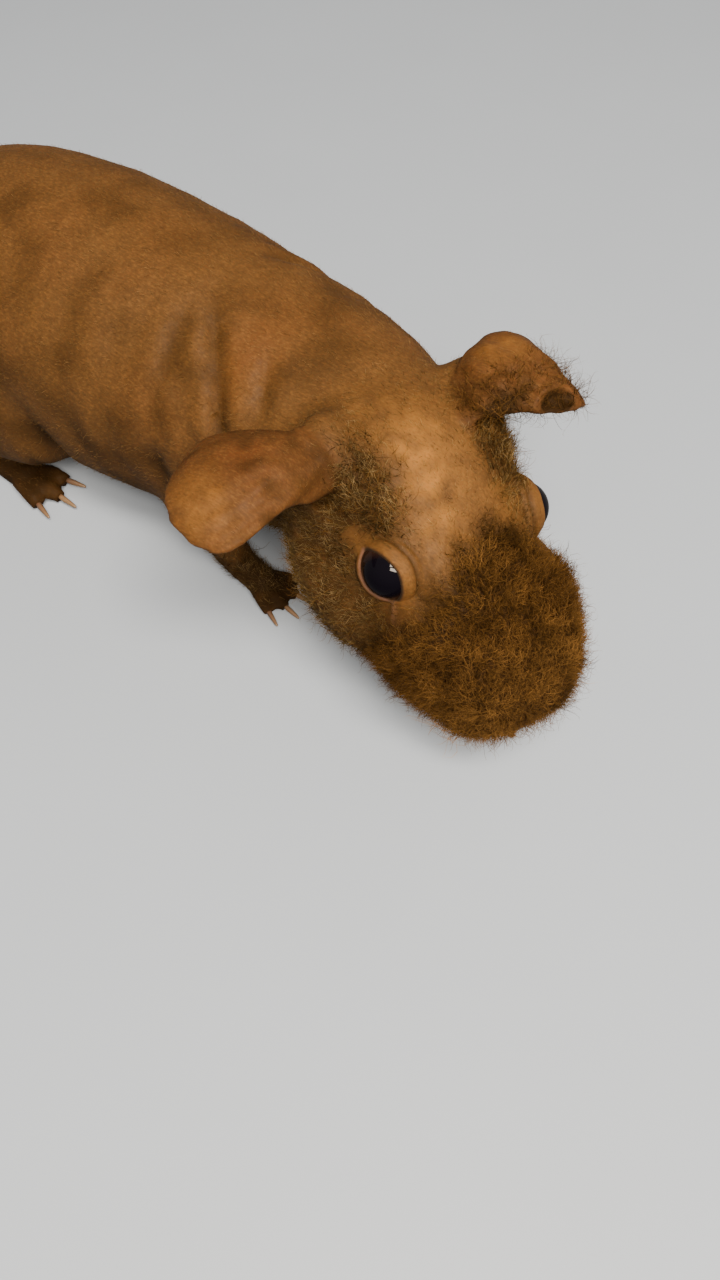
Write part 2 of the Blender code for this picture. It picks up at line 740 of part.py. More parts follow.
def take_leg(flesh, pair, side_name, side, where, tools):
    """Parts one leg from the flesh along an oval shell, and ends it at the ankle."""
    middle, sizes = LEG_REGIONS[pair]
    name = f"leg_{pair}_{side_name}"
    place = on_side(scaled(middle), side)
    inner = ellipsoid("in_" + name, place, scaled(sizes), tools)
    grown = tuple(size * MM + GAP for size in sizes)
    outer = ellipsoid("out_" + name, place, grown, tools)
    leg = copy_of(flesh, name, where)
    keep_largest(boolean(leg, "INTERSECT", inner))
    above = half_space("above_" + name, (0, 0, ANKLE_HEIGHT[pair] / MM), (0, 0, 1), True, tools)
    keep_largest(boolean(leg, "INTERSECT", above))
    keep_largest(boolean(flesh, "DIFFERENCE", outer))


def toe_knots(pair, side):
    """For each toe, the places from the ball of the foot to its end."""
    knots = FRONT_FOOT if pair == "front" else HIND_FOOT
    ball = Vector(scaled(knots[-1][0]))
    toes = TOES[pair]
    radius = TOE_RADIUS[pair]
    for number, (outwards, length) in enumerate(toes):
        spread = (number - (len(toes) - 1) / 2) * TOE_SPACING[pair]
        way = math.radians(outwards)
        ahead = Vector((math.sin(way), -math.cos(way), 0))
        root = ball + Vector((spread, 0.5 * MM, 0)) - ahead * 2 * MM
        root.z = 2.3 * MM
        knuckle = root + ahead * (2 * MM + length * MM * 0.45)
        knuckle.z = radius * 1.42
        end = root + ahead * (2 * MM + length * MM)
        end.z = radius * 0.86
        yield [on_side(p, side) for p in (root, knuckle, end)], on_side(ahead, side)


def claw(name, pair, end, ahead, spare, where):
    """A claw that curves down to a blunt point, thicker by spare all round."""
    length, radius = CLAW_LENGTH[pair], CLAW_RADIUS[pair]
    side = ahead.cross(Vector((0, 0, 1))).normalized()
    form = bmesh.new()
    rings = []
    for number in range(CLAW_RINGS):
        share = number / (CLAW_RINGS - 1)
        run = (length + CLAW_SUNK) * share - CLAW_SUNK - spare * (number == 0)
        run += spare * (number == CLAW_RINGS - 1)
        thick = radius * (1 - 0.72 * share**1.4) + spare
        middle = end + ahead * run
        middle.z += 0.15 * MM - 0.55 * MM * share**2
        ring = []
        for k in range(CLAW_SIDES):
            turn = 2 * math.pi * k / CLAW_SIDES
            offset = side * math.cos(turn) * thick * 0.8 + Vector((0, 0, math.sin(turn) * thick))
            ring.append(form.verts.new(middle + offset))
        rings.append(ring)
    for first, second in zip(rings, rings[1:]):
        for k in range(CLAW_SIDES):
            after = (k + 1) % CLAW_SIDES
            form.faces.new((first[k], first[after], second[after], second[k]))
    form.faces.new(rings[0])
    form.faces.new(reversed(rings[-1]))
    bmesh.ops.recalc_face_normals(form, faces=form.faces)
    return object_of(name, form, where)


def foot(pair, side_name, side, where, tools):
    """A foot with its toes, flat underneath, ended at the ankle, and its claws."""
    name = f"foot_{pair}_{side_name}"
    shells = collection("shells_" + name)
    limb("ankle", (FRONT_LEG if pair == "front" else HIND_LEG)[2:], side, shells)
    limb("sole", FRONT_FOOT if pair == "front" else HIND_FOOT, side, shells)
    radius = TOE_RADIUS[pair]
    for knots, _ in toe_knots(pair, side):
        tube("toe", knots, (radius * 1.05, radius * 1.1, radius * 0.92), shells)
    made = joined(name, list(shells.objects), where)
    discard(*shells.objects)
    bpy.data.collections.remove(shells)
    fuse = made.modifiers.new("fuse", "REMESH")
    fuse.mode = "VOXEL"
    fuse.voxel_size = FOOT_CELL
    smooth = made.modifiers.new("smooth", "SMOOTH")
    smooth.factor = 0.5
    smooth.iterations = FOOT_SMOOTHINGS
    keep_largest(settle(made))
    below = half_space("below_" + name, (0, 0, ANKLE_HEIGHT[pair] / MM), (0, 0, 1), False, tools)
    floor = half_space("floor_" + name, (0, 0, -GAP / 2 / MM), (0, 0, 1), True, tools)
    reduce(made, FOOT_TRIANGLES[pair])
    boolean(made, "INTERSECT", below)
    boolean(made, "INTERSECT", floor)
    sockets = collection("sockets_" + name)
    for number, (knots, ahead) in enumerate(toe_knots(pair, side)):
        title = f"claw_{pair}_{side_name}_{number + 1}"
        claw(title, pair, knots[-1], ahead, 0.0, where)
        claw("socket_" + title, pair, knots[-1], ahead, GAP, sockets)
    tools.children.link(sockets)
    bpy.context.scene.collection.children.unlink(sockets)
    boolean(made, "DIFFERENCE", sockets)
    keep_largest(made)


def hide_tools(tools):
    for obj in tools.all_objects:
        obj.hide_render = True
        obj.display_type = "WIRE"


def paint(where):
    """Gives every part its material."""
    for obj in where.objects:
        kind = obj.name.split("_")[0]
        obj.data.materials.clear()
        obj.data.materials.append(finish(kind if kind in FINISHES else "skin"))
        for polygon in obj.data.polygons:
            polygon.use_smooth = False


def centre(where, tools):
    """Moves everything so that the middle of the outline's floor is the origin."""
    points = np.vstack([points_of(obj) for obj in where.objects])
    middle = (points.min(0) + points.max(0)) / 2
    middle[2] = 0
    for obj in list(where.objects) + list(tools.all_objects):
        obj.data.transform(Matrix.Translation(-Vector(middle)))
    print("moved by", *(round(-v / MM, 3) for v in middle), "mm")


def main():
    clear_scene()
    animal = collection("skinny_pig")
    tools = collection("cutters")
    flesh = whole_flesh(animal)
    for side, side_name in ((1, "left"), (-1, "right")):
        for pair in ("front", "hind"):
            take_leg(flesh, pair, side_name, side, animal, tools)
            foot(pair, side_name, side, animal, tools)
    front, torso = sever(flesh, ("front_part", "torso"), *NECK_PLANE, animal, tools)
    head, neck = sever(front, ("head", "neck"), *HEAD_PLANE, animal, tools)
    cut_mouth(head, tools)
    set_eyes(head, animal, tools)
    set_ears(head, animal, tools)
    keep_largest(head)
    centre(animal, tools)
    hide_tools(tools)
    paint(animal)
    for obj in animal.objects:
        print(obj.name, sum(len(p.vertices) - 2 for p in obj.data.polygons))


if __name__ == "__main__":
    main()
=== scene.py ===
"""Dresses the solids of a young skinny pig, the nearly hairless breed of guinea pig.

One skin covers all the flesh, with lids, folds, lips and ear ridges, and fuzz grows from it:
dense on the muzzle, short on the face and sparse on the body. Settings and meshes are in
metres, and the tables and shapes of the head and trunk are in millimetres.
"""

import json
import math

import bmesh
import bpy
import numpy as np
from bpy.props import FloatProperty, FloatVectorProperty, IntProperty, PointerProperty
from mathutils import Matrix, Vector, noise
from mathutils.bvhtree import BVHTree
from mathutils.kdtree import KDTree

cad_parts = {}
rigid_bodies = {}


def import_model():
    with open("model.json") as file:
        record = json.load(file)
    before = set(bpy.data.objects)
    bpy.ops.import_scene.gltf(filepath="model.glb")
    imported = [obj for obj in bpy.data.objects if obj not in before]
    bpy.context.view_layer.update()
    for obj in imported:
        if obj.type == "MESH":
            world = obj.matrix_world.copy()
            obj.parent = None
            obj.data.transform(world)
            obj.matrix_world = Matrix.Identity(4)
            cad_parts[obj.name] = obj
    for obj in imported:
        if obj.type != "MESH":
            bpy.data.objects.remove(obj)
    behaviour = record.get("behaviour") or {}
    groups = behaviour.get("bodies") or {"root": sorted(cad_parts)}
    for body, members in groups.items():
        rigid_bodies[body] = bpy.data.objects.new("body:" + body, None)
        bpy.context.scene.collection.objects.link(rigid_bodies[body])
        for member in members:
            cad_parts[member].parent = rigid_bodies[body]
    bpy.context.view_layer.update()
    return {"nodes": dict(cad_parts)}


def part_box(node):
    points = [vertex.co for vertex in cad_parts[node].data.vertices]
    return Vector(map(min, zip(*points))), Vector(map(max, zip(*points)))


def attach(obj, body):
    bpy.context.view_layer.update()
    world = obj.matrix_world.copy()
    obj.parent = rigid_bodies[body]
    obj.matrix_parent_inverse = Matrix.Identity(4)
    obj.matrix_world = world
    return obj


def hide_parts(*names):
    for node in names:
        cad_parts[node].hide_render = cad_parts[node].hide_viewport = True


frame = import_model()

bl_info = {
    "name": "Skinny pig",
    "version": (1, 0, 0),
    "blender": (4, 5, 0),
    "location": "3D View > Sidebar > Skinny pig",
    "description": "Dresses the solids of a skinny pig with skin, eyes, claws and fuzz",
    "category": "Object",
}

MM = 0.001
SIDES = (("left", 1), ("right", -1))

# Where the solids stand, as their source has it
CENTRED_BY = Vector((8.664, -16.871, 0.0)) * MM
HEAD_POSE = (
    Matrix.Translation(CENTRED_BY + Vector((-15.2, -46.0, 42.3)) * MM)
    @ Matrix.Rotation(math.radians(-23.5), 4, "Z")
    @ Matrix.Rotation(math.radians(28), 4, "X")
    @ Matrix.Rotation(math.radians(5), 4, "Y")
)
GROWN = 0.28 * MM  # how far each flesh node is grown, so that all of them run into each other
SOCKET = 6.9 * MM  # radius of the ball that fills the head behind each eye
CAMERA_PLACE = CENTRED_BY + Vector((-133.3, -107.8, 198.4)) * MM
CAMERA_ANGLES = (-55, 55)  # degrees round from the front, and up
WINDOW_WAY = (-0.36, -0.43, 0.81)
WINDOW_SIZE = (0.40, 0.17)  # metres
WINDOW_ROLL = -26
WINDOW_APART = Vector((0.72, 0.52, 0.46)) * 0.125
WARM = (1.0, 0.85, 0.68)
FLOOR_HALF = 2.5  # metres
WELD = 0.001 * MM
ROUNDS = {"all": 14, "trunk": 90, "sockets": 70, "last": 2}  # of smoothing the skin's form
UNWRAP_FACES = 9000
PORE = 0.8 * MM
CLAW_ROUNDING = 0.13 * MM  # what a claw grows by, since rounding it off thins it
CLAW_LENGTH = 5 * MM
EYEBALL_PART = 0.998  # of the radius that the lids are drawn on
LONGEST = 1.15  # hair, against its zone's length
SEED_STEPS = {"shade": 101, "size": 307, "kind": 211, "muss": 401, "roll": 57}
HAIR_KINDS = 8
LONG_RINGS = (0.0, 0.4, 0.75)  # where a hair's rings lie along it
SHORT_RINGS = (0.0, 0.55)
CURLY_RINGS = (0.0, 0.2, 0.4, 0.6, 0.8)

# The coat's zones: pieces, first seed, how thick, bent and wavy a hair is, its rings, how upright
# and mussed it stands, how far it may roll, the shortest, and how much more the next piece stands
COAT = {
    "muzzle": (("muzzle_coat_1", "muzzle_coat_2"), 11, 1.0, 0.48, 0.13, LONG_RINGS,
               0.48, 0.22, 1.0, 0.5, 0.26),
    "fringe": (("fringe_1", "fringe_2"), 21, 0.95, 0.6, 0.22, CURLY_RINGS,
               0.70, 0.36, 2.6, 0.45, 0.0),
    "face": (("face_coat_1", "face_coat_2"), 31, 0.70, 0.5, 0.10, LONG_RINGS,
             0.42, 0.36, 1.6, 0.5, 0.0),
    "body": (("body_down_1", "body_down_2"), 41, 0.46, 0.55, 0.08, SHORT_RINGS,
             0.30, 0.26, 1.2, 0.5, 0.0),
    "whisker": (("whiskers",), 51, 1.1, 0.55, 0.16, CURLY_RINGS, 0.50, 0.30, 0.9, 0.45, 0.0),
}
MUZZLE_TIP = (0.120, 0.058, 0.016)
FACE_TIP = (0.200, 0.140, 0.068)

# The head's marks in its own frame, in mm, with X to its left, -Y forward and Z up
EYE_PLACE = (13.6, 0.0, 1.2)
EYE_OUTLOOK = (0.84, -0.30, 0.45)
EYE_RADIUS = 6.25
CORNEA_RADIUS = 5.2
CORNEA_OUT = 1.7
LID_SLOPE = math.radians(7)
LID_ARCS = (6.4, 5.9, 3.2)  # half the opening: along, up and down, on the eyeball
LID_POWER = 1.72  # 2 is an oval, and less has more pointed corners
SLIT_MIDDLE = (-0.4, -2.3)  # the middle of the line between its corners: forward, up
EAR_ROOT = {"left": (18.5, 30.5, 8.5), "right": (17.0, 23.5, 6.5)}
EAR_PIT = (19.6, 18.0, 1.5)
MOUTH_LINE = ((0.0, -35.4, -17.4), (4.0, -34.2, -18.2), (8.4, -30.4, -18.2), (11.8, -25.6, -17.0))
LIP_CLEFT = ((0.0, -38.0, -10.5), (0.0, -37.6, -13.5), (0.0, -36.0, -17.4))
NOSTRIL = (3.3, -8.0)
HEAD_TURN = np.array(HEAD_POSE.to_3x3())
HEAD_UP = HEAD_TURN[:, 2]

# Where one part of the skin runs into the next, in mm
NECK = (24, 38)  # back from the head's middle
EAR_EDGE = (0.6, 2.0)  # away from an ear's solid
ANKLE = (6, 12)  # above the floor
TRUNK_HEIGHT = 38  # of the line that the creases run round
FLOOR_GAP = (2.0, 4.5)  # heights between which the fuzz starts to grow

# Oval spots of the head: how strong, their middle and their sizes
PALE_SPOTS = (
    (1.05, (-3.8, 14.5, 11.8), (6.4, 7.5, 9.0)),
    (0.50, (-5.5, 2.0, 10.0), (5.0, 6.0, 6.0)),
    (0.40, (6.5, 1.0, 9.0), (4.5, 6.0, 6.0)),
    (0.25, (-3.0, 27.0, 8.0), (8.0, 9.0, 9.0)),
)
PALE_EAR_ROOT = ((0.8, (-27.5, 21.0, 9.5), (4.0, 6.0, 4.0)),)
DARK_EAR_BAND = ((0.45, (-33.5, 20.0, 7.5), (4.5, 6.5, 5.0)),)
DARK_SPOTS = (
    (0.35, (-24.0, 21.5, 9.0), (3.5, 5.0, 5.0)),
    (0.40, (-17.0, -17.0, 2.0), (5.0, 7.0, 7.0)),
)
RED_SPOTS = (
    (0.35, (-16.5, -8.0, -1.5), (4.5, 4.5, 4.5)),
    (0.60, (-32.5, 26.5, 7.0), (4.5, 4.0, 4.5)),
)
# Painted sheen on the ears' lobes
LOBE_SHEEN = (
    (1.2, (-42.5, 22.5, 5.0), (7.5, 8.0, 6.5)),
    (1.2, (20.5, 26.5, 14.0), (6.5, 4.2, 4.5)),
)
TUFTS = (
    (1.0, (14.0, 15.5, 7.0), (5.0, 6.5, 6.5)),
    (0.8, (17.5, 9.0, 2.5), (4.5, 6.0, 6.0)),
    (0.6, (14.0, 8.5, 7.5), (3.2, 4.5, 4.5)),
)
LEFT_TUFTS = (
    (0.55, (9.5, 5.5, 9.5), (3.0, 9.0, 4.0)),
    (0.9, (13.5, 16.0, 14.5), (4.5, 3.6, 4.0)),
)
WHISKER_BEDS = (
    (1.0, (9.5, -30.5, -13.0), (3.0, 4.5, 4.0)),
    (0.5, (11.5, 1.5, 9.5), (1.2, 1.8, 1.5)),
    (0.3, (17.0, 3.0, -12.0), (2.0, 2.5, 2.0)),
)

FLESH = ["torso", "neck", "head"]
FLESH += [f"{part}_{side}" for part in ("ear", "leg_front", "leg_hind") for side, _ in SIDES]
FLESH += [f"{part}_{side}" for part in ("foot_front", "foot_hind") for side, _ in SIDES]
CLAWS = sorted(name for name in frame["nodes"] if name.startswith("claw_"))

# Skin creases on the trunk: side, back along the body, lean per radian, from and to degrees of
# height round it, width and depth in mm
CREASES = (
    (-1, -8.3, 15.0, -10, 86, 2.2, 1.30),
    (-1, -8.0, 10.5, 25, 66, 2.0, 1.05),
    (-1, 15.5, 1.0, -24, 72, 2.4, 0.80),
    (-1, 25.5, 3.0, -34, 56, 3.0, 0.55),
    (-1, 6.0, 8.0, -34, 12, 1.5, 0.40),
    (-1, 36.0, 4.0, -20, 48, 2.8, 0.35),
    (1, -5.0, 13.0, -20, 76, 2.3, 0.95),
    (1, -9.0, 9.0, 15, 56, 2.0, 0.70),
    (1, 13.5, 3.0, -28, 62, 2.7, 0.65),
    (1, 26.0, 2.0, -34, 50, 2.8, 0.45),
    (-1, 44.0, 8.0, -64, -8, 2.2, 1.2),
    (1, 44.0, 8.0, -64, -8, 2.2, 1.2),
    (-1, 51.0, 6.0, -60, -22, 1.4, 0.6),
    (1, 51.0, 6.0, -60, -22, 1.4, 0.6),
)


# Sizes and colours that a user may change


def length(name, description, default):
    return FloatProperty(
        name=name, description=description, default=default, min=0.0, precision=5, unit="LENGTH"
    )


def share(name, description, default, most=1.0):
    return FloatProperty(name=name, description=description, default=default, min=0.0, max=most)


def colour(name, description, default):
    return FloatVectorProperty(
        name=name, description=description, default=default, subtype="COLOR", min=0.0, max=1.0
    )


def count(name, description, default):
    return IntProperty(name=name, description=description, default=default, min=1)


class SkinSettings(bpy.types.PropertyGroup):
    """The skin's fineness, depth and colours."""

    cell: length("Cell", "Size of the grid that the skin is drawn on", 0.0005)
    triangles: count("Triangles", "Most triangles of the finished skin", 190000)
    muzzle_depth: length("Muzzle depth", "How deep the skin lies under the muzzle's coat", 0.0014)
    face_depth: length("Face depth", "How deep it lies under the face's fuzz", 0.0006)
    body_depth: length("Body depth", "How deep it lies under the body's down", 0.00035)
    brown: colour("Brown", "Bare skin of the body", (0.088, 0.040, 0.0098))
    # Pale is also painted onto the ears' lobes as sheen and onto the shoulder's swelling as a highlight
    pale: colour("Pale", "Forehead and lids", (0.255, 0.110, 0.020))
    # Dark is also painted into creases, folds, hollows and low on the flanks as shade
    dark: colour("Dark", "Skin under the coat and in the folds", (0.020, 0.0098, 0.0030))
    red: colour("Red", "Ears and thin skin", (0.094, 0.031, 0.0065))
    rose: colour("Rose", "Lid edges", (0.16, 0.072, 0.038))


class EyeSettings(bpy.types.PropertyGroup):
    """The eyes' colours."""

    pupil: colour("Pupil", "Middle of the eye", (0.0025, 0.002, 0.004))
    ring: colour("Ring", "Edge of the dark iris", (0.020, 0.009, 0.006))
    roughness: share("Roughness", "How blurred the eye's reflections are", 0.03)


class CoatSettings(bpy.types.PropertyGroup):
    """The hairs of each part of the coat."""

    muzzle_hairs: count("Muzzle hairs", "Hairs of each of the muzzle's two pieces", 12400)
    muzzle_length: length("Muzzle length", "Length of the muzzle's fuzz", 0.0030)
    fringe_hairs: count("Fringe hairs", "Longer curly hairs of each of the two fringe pieces", 6900)
    fringe_length: length("Fringe length", "Length of those longer hairs", 0.0046)
    face_hairs: count("Face hairs", "Hairs of each of the face's two pieces", 12400)
    face_length: length("Face length", "Length of the face's fuzz", 0.0021)
    body_hairs: count("Body hairs", "Hairs of each of the body's two pieces", 14500)
    body_length: length("Body length", "Length of the body's down", 0.0015)
    thickness: length("Thickness", "Thickness of a hair at its root", 0.00013)
    whisker_hairs: count("Whiskers", "Whiskers on the muzzle", 90)
    whisker_length: length("Whisker length", "Length of the whiskers", 0.0085)
    dark: colour("Dark", "Hair of the muzzle", (0.060, 0.030, 0.0070))
    gold: colour("Gold", "Hair towards the nose", (0.240, 0.125, 0.036))
    olive: colour("Olive", "Hair of the face", (0.062, 0.039, 0.0125))
    down: colour("Down", "Hair of the body", (0.140, 0.078, 0.028))


class ClawSettings(bpy.types.PropertyGroup):
    """The claws' colours."""

    root: colour("Root", "Horn near the toe", (0.09, 0.045, 0.028))
    tip: colour("Tip", "Horn at the point", (0.20, 0.125, 0.065))


class StageSettings(bpy.types.PropertyGroup):
    """The floor, the lights and the camera."""

    floor: colour("Floor", "Colour of the floor", (0.37, 0.435, 0.53))
    key: share("Key", "Power of the two window lights, in watts", 11.5, 200.0)
    fill: share("Fill", "Power of the wide fill light, in watts", 3.2, 200.0)
    sky: share("Sky", "Brightness of the room all round", 0.32, 5.0)
    lens: FloatProperty(name="Lens", description="Focal length in mm", default=30.94)


# Meshes as arrays of points


def numbers_of(items, field, wide, kind=np.float32):
    """One field of a mesh's points, edges or faces, as rows of numbers."""
    found = np.empty(len(items) * wide, kind)
    items.foreach_get(field, found)
    return found.reshape(-1, wide)


def points_of(mesh):
    return numbers_of(mesh.vertices, "co", 3).astype(float)


def normals_of(mesh):
    return numbers_of(mesh.vertices, "normal", 3).astype(float)


def edges_of(mesh):
    return numbers_of(mesh.edges, "vertices", 2, np.int32)


def triangles_of(mesh):
    return numbers_of(mesh.polygons, "vertices", 3, np.int32)


def move_points(mesh, points):
    mesh.vertices.foreach_set("co", points.astype(np.float32).ravel())
    mesh.update()


def carried(points, pose):
    """Points carried by a 4x4 matrix."""
    turn = np.array(pose)
    return points @ turn[:3, :3].T + turn[:3, 3]


def in_head(points):
    """Places in the head's own frame, in mm."""
    return carried(points, HEAD_POSE.inverted()) / MM


def in_body(points):
    """Places in the frame that the solids were built in, in mm."""
    return (points - np.array(CENTRED_BY)) / MM


def eased(low, high, values):
    """0 below low and 1 above high, with a smooth rise between."""
    part = np.clip((values - low) / (high - low), 0, 1)
    return part * part * (3 - 2 * part)


def bump_at(values, middle, spread):
    return np.exp(-(((values - middle) / spread) ** 2))


def ball(places, middle, sizes):
    """1 at the middle of an oval region, falling off smoothly with its sizes."""
    away = (places - np.array(middle)) / np.array(sizes)
    return np.exp(-(away**2).sum(1))


def spots(places, table, sides=(1,)):
    """The sum of a table's oval spots, on the sides named."""
    total = np.zeros(len(places))
    for side in sides:
        for strength, middle, sizes in table:
            total += strength * ball(places, on_side(middle, side), sizes)
    return total


def cloudy(points, cell, seed):
    """Smooth noise of about -1 to 1, with clouds about cell wide."""
    shift = Vector((seed * 7.3, seed * 3.1, seed * 5.7))
    size = 1 / cell
    return np.array([noise.noise(Vector(p) * size + shift) for p in points])


def slope_of(points, cell, seed):
    """Which way the noise of cloudy rises, as vectors about 1 long."""
    here = cloudy(points, cell, seed)
    step = 0.2 * cell
    ahead = [cloudy(points + step * np.eye(3)[axis], cell, seed) - here for axis in range(3)]
    return np.stack(ahead, 1) * 2.2


def relax(points, edges, weights, rounds):
    """Smooths points towards their neighbours, each by its weight."""
    first, second = edges[:, 0], edges[:, 1]
    total = len(points)
    links = np.bincount(first, minlength=total) + np.bincount(second, minlength=total)
    links = np.maximum(links, 1)
    for _ in range(rounds):
        around = np.empty_like(points)
        for axis in range(3):
            values = points[:, axis]
            near = np.bincount(first, values[second], total)
            near += np.bincount(second, values[first], total)
            around[:, axis] = near / links
        points = points + (around - points) * (0.5 * weights)[:, None]
    return points


def surface(points, faces):
    """A tree that finds the nearest place on faces."""
    return BVHTree.FromPolygons(points.tolist(), [tuple(face.vertices) for face in faces])


def on_side(place, side):
    return Vector((place[0] * side, place[1], place[2]))


def on_curve(points, steps):
    """Places along a Catmull-Rom curve through points."""
    knots = np.array(points, float)
    knots = np.vstack([2 * knots[0] - knots[1], knots, 2 * knots[-1] - knots[-2]])
    path = []
    for i in range(1, len(knots) - 2):
        a, b, c, d = knots[i - 1 : i + 3]
        for t in np.arange(steps) / steps:
            bend = 2 * a - 5 * b + 4 * c - d
            twist = -a + 3 * b - 3 * c + d
            path.append(0.5 * (2 * b + (c - a) * t + bend * t * t + twist * t**3))
    path.append(knots[-2])
    return np.array(path)


def how_far(points, path):
    """Each point's distance from the nearest place of a path."""
    tree = KDTree(len(path))
    for index, place in enumerate(path):
        tree.insert(place, index)
    tree.balance()
    return np.array([tree.find(p)[2] for p in points])


def keep_values(mesh, name, values, kind="FLOAT"):
    """Stores a value for each point of the mesh."""
    layer = mesh.attributes.new(name, kind, "POINT")
    field = "vector" if kind == "FLOAT_VECTOR" else "value"
    layer.data.foreach_set(field, np.asarray(values, np.float32).ravel())


def kept_values(mesh, name):
    layer = mesh.attributes[name]
    if layer.data_type == "FLOAT_VECTOR":
        return numbers_of(layer.data, "vector", 3)
    return numbers_of(layer.data, "value", 1)[:, 0]


def several_kept(mesh, *names):
    return (kept_values(mesh, name) for name in names)


def mesh_of(name, form):
    """A mesh made from a bmesh, which is then freed."""
    mesh = bpy.data.meshes.new(name)
    form.to_mesh(mesh)
    form.free()
    return mesh


def object_of(name, mesh):
    made = bpy.data.objects.new(name, mesh)
    bpy.context.scene.collection.objects.link(made)
    return made


def settled(obj):
    """Makes an object's modifiers part of its mesh."""
    graph = bpy.context.evaluated_depsgraph_get()
    mesh = bpy.data.meshes.new_from_object(obj.evaluated_get(graph))
    obj.modifiers.clear()
    obj.data = mesh
    return obj


def drop(*objects):
    for obj in objects:
        bpy.data.objects.remove(obj, do_unlink=True)


def clothed(obj, material):
    """Gives a mesh its one material."""
    obj.data.materials.clear()
    obj.data.materials.append(material)


def smooth_shaded(mesh):
    mesh.polygons.foreach_set("use_smooth", np.ones(len(mesh.polygons), bool))
    mesh.update()


# The skin's form


def eye_pose(side):
    """The frame of an eye: its Z looks out of the head, its X runs forward along the slit."""
    outlook = on_side(EYE_OUTLOOK, side).normalized()
    along = Vector((0, -math.cos(LID_SLOPE), -math.sin(LID_SLOPE)))
    along = (along - outlook * along.dot(outlook)).normalized()
    turn = Matrix((along, outlook.cross(along), outlook)).transposed().to_4x4()
    return HEAD_POSE @ Matrix.Translation(on_side(EYE_PLACE, side) * MM) @ turn


def eyeball_reach(rise):
    """The eyeball's radius in mm where the way out has that share towards its outlook."""
    cornea = CORNEA_OUT * rise + np.sqrt(CORNEA_RADIUS**2 - CORNEA_OUT**2 * (1 - rise**2))
    return np.maximum(EYE_RADIUS, cornea)


def check_pose():
    """Stops where the eyes of the solids aren't where this script takes them to be."""
    for side_name, side in SIDES:
        low, high = (Vector(corner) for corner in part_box("eye_" + side_name))
        middle = eye_pose(side) @ Vector((0, 0, 0.2 * MM))
        if ((low + high) / 2 - middle).length > MM:
            raise RuntimeError(f"eye_{side_name} isn't where the head's pose has it")


def welded(name):
    """A node of the solids as a bmesh, with its doubled corners joined."""
    single = bmesh.new()
    single.from_mesh(bpy.data.objects[name].data)
    bmesh.ops.remove_doubles(single, verts=single.verts, dist=WELD)
    return single


def added(form, single, name):
    """Adds one bmesh to another, by way of a mesh."""
    mesh = mesh_of(name, single)
    form.from_mesh(mesh)
    bpy.data.meshes.remove(mesh)


def grown_flesh():
    """The flesh nodes as one mesh, each grown a little so that they run into each other."""
    form = bmesh.new()
    for name in FLESH:
        single = welded(name)
        single.normal_update()
        for vert in single.verts:
            vert.co += vert.normal * GROWN
        added(form, single, name + "_grown")
    for _, side in SIDES:
        pose = eye_pose(side) @ Matrix.Translation((0, 0, 0.1 * MM))
        bmesh.ops.create_icosphere(form, subdivisions=4, radius=SOCKET, matrix=pose)
    return mesh_of("skin", form)


def regions(points):
    """Where the head, ears and feet are, each 0 to 1."""
    head = in_head(points)
    is_head = 1 - eased(*NECK, head[:, 1])
    ears = np.zeros(len(points))
    for side_name, _ in SIDES:
        low, high = (np.array(corner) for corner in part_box("ear_" + side_name))
        near = ((points > low - MM) & (points < high + MM)).all(1)
        shape = bpy.data.objects["ear_" + side_name].data
        tree = surface(points_of(shape), shape.polygons)
        for index in np.nonzero(near)[0]:
            distance = tree.find_nearest(Vector(points[index]))[3]
            ears[index] = 1 - eased(*EAR_EDGE, distance / MM)
    feet = 1 - eased(*ANKLE, points[:, 2] / MM)
    feet *= head[:, 1] > 0
    return head, is_head, ears, feet


def crease_trunk(points, normals):
    """Presses the trunk's creases in, with the skin rolled up beside them, and gives how deep in a crease
    each place lies, for the painted shade there.
    """
    body = in_body(points)
    depth = np.zeros(len(points))
    shade = np.zeros(len(points))
    drift = cloudy(body, 13.0, 11)
    uneven = 1 + 0.7 * cloudy(body, 8.0, 12)
    for side, back, lean, start, end, width, deep in CREASES:
        angle = np.degrees(np.arctan2(body[:, 2] - TRUNK_HEIGHT, body[:, 0] * side))
        line = back + lean * np.radians(angle - start) + 0.6 * np.sin(angle / 9 + back) + 1.6 * drift
        away = (body[:, 1] - line) / width
        fade = eased(start - 8, start + 20, angle) * (1 - eased(end - 24, end + 8, angle))
        fade = fade * (np.abs(away) < 6) * np.clip(uneven, 0.3, 1.4)
        valley = np.exp(-(np.abs(away * (1 + 0.25 * np.sign(away))) ** 1.6))
        depth += deep * fade * (valley * 1.25 - 0.22 * np.exp(-((np.abs(away) - 1.9) ** 2)))
        # shade: how deep in a crease a place lies, painted dark in the skin's colour as shade
        shade = np.maximum(shade, fade * valley * min(1, deep / 1.6))
    return points - normals * (depth * MM)[:, None], shade


def round_eye(points, side):
    """Each place's way out from an eye: distance, share towards its outlook, and arcs in mm."""
    local = carried(points, eye_pose(side).inverted()) / MM
    reach = np.maximum(np.linalg.norm(local, axis=1), 0.01)
    way = local / reach[:, None]
    flat = np.maximum(np.hypot(way[:, 0], way[:, 1]), 1e-6)
    arc = EYE_RADIUS * np.arccos(np.clip(way[:, 2], -1, 1))
    forward = arc * way[:, 0] / flat - SLIT_MIDDLE[0]
    up = arc * way[:, 1] / flat * -side - SLIT_MIDDLE[1]
    return way, reach, forward, up


def slit_share(forward, up):
    """1 on the rim of the lids' opening, less inside it and more outside."""
    high = np.where(up > 0, LID_ARCS[1], LID_ARCS[2])
    away = (np.abs(forward) / LID_ARCS[0]) ** LID_POWER + (np.abs(up) / high) ** LID_POWER
    return away ** (1 / LID_POWER)


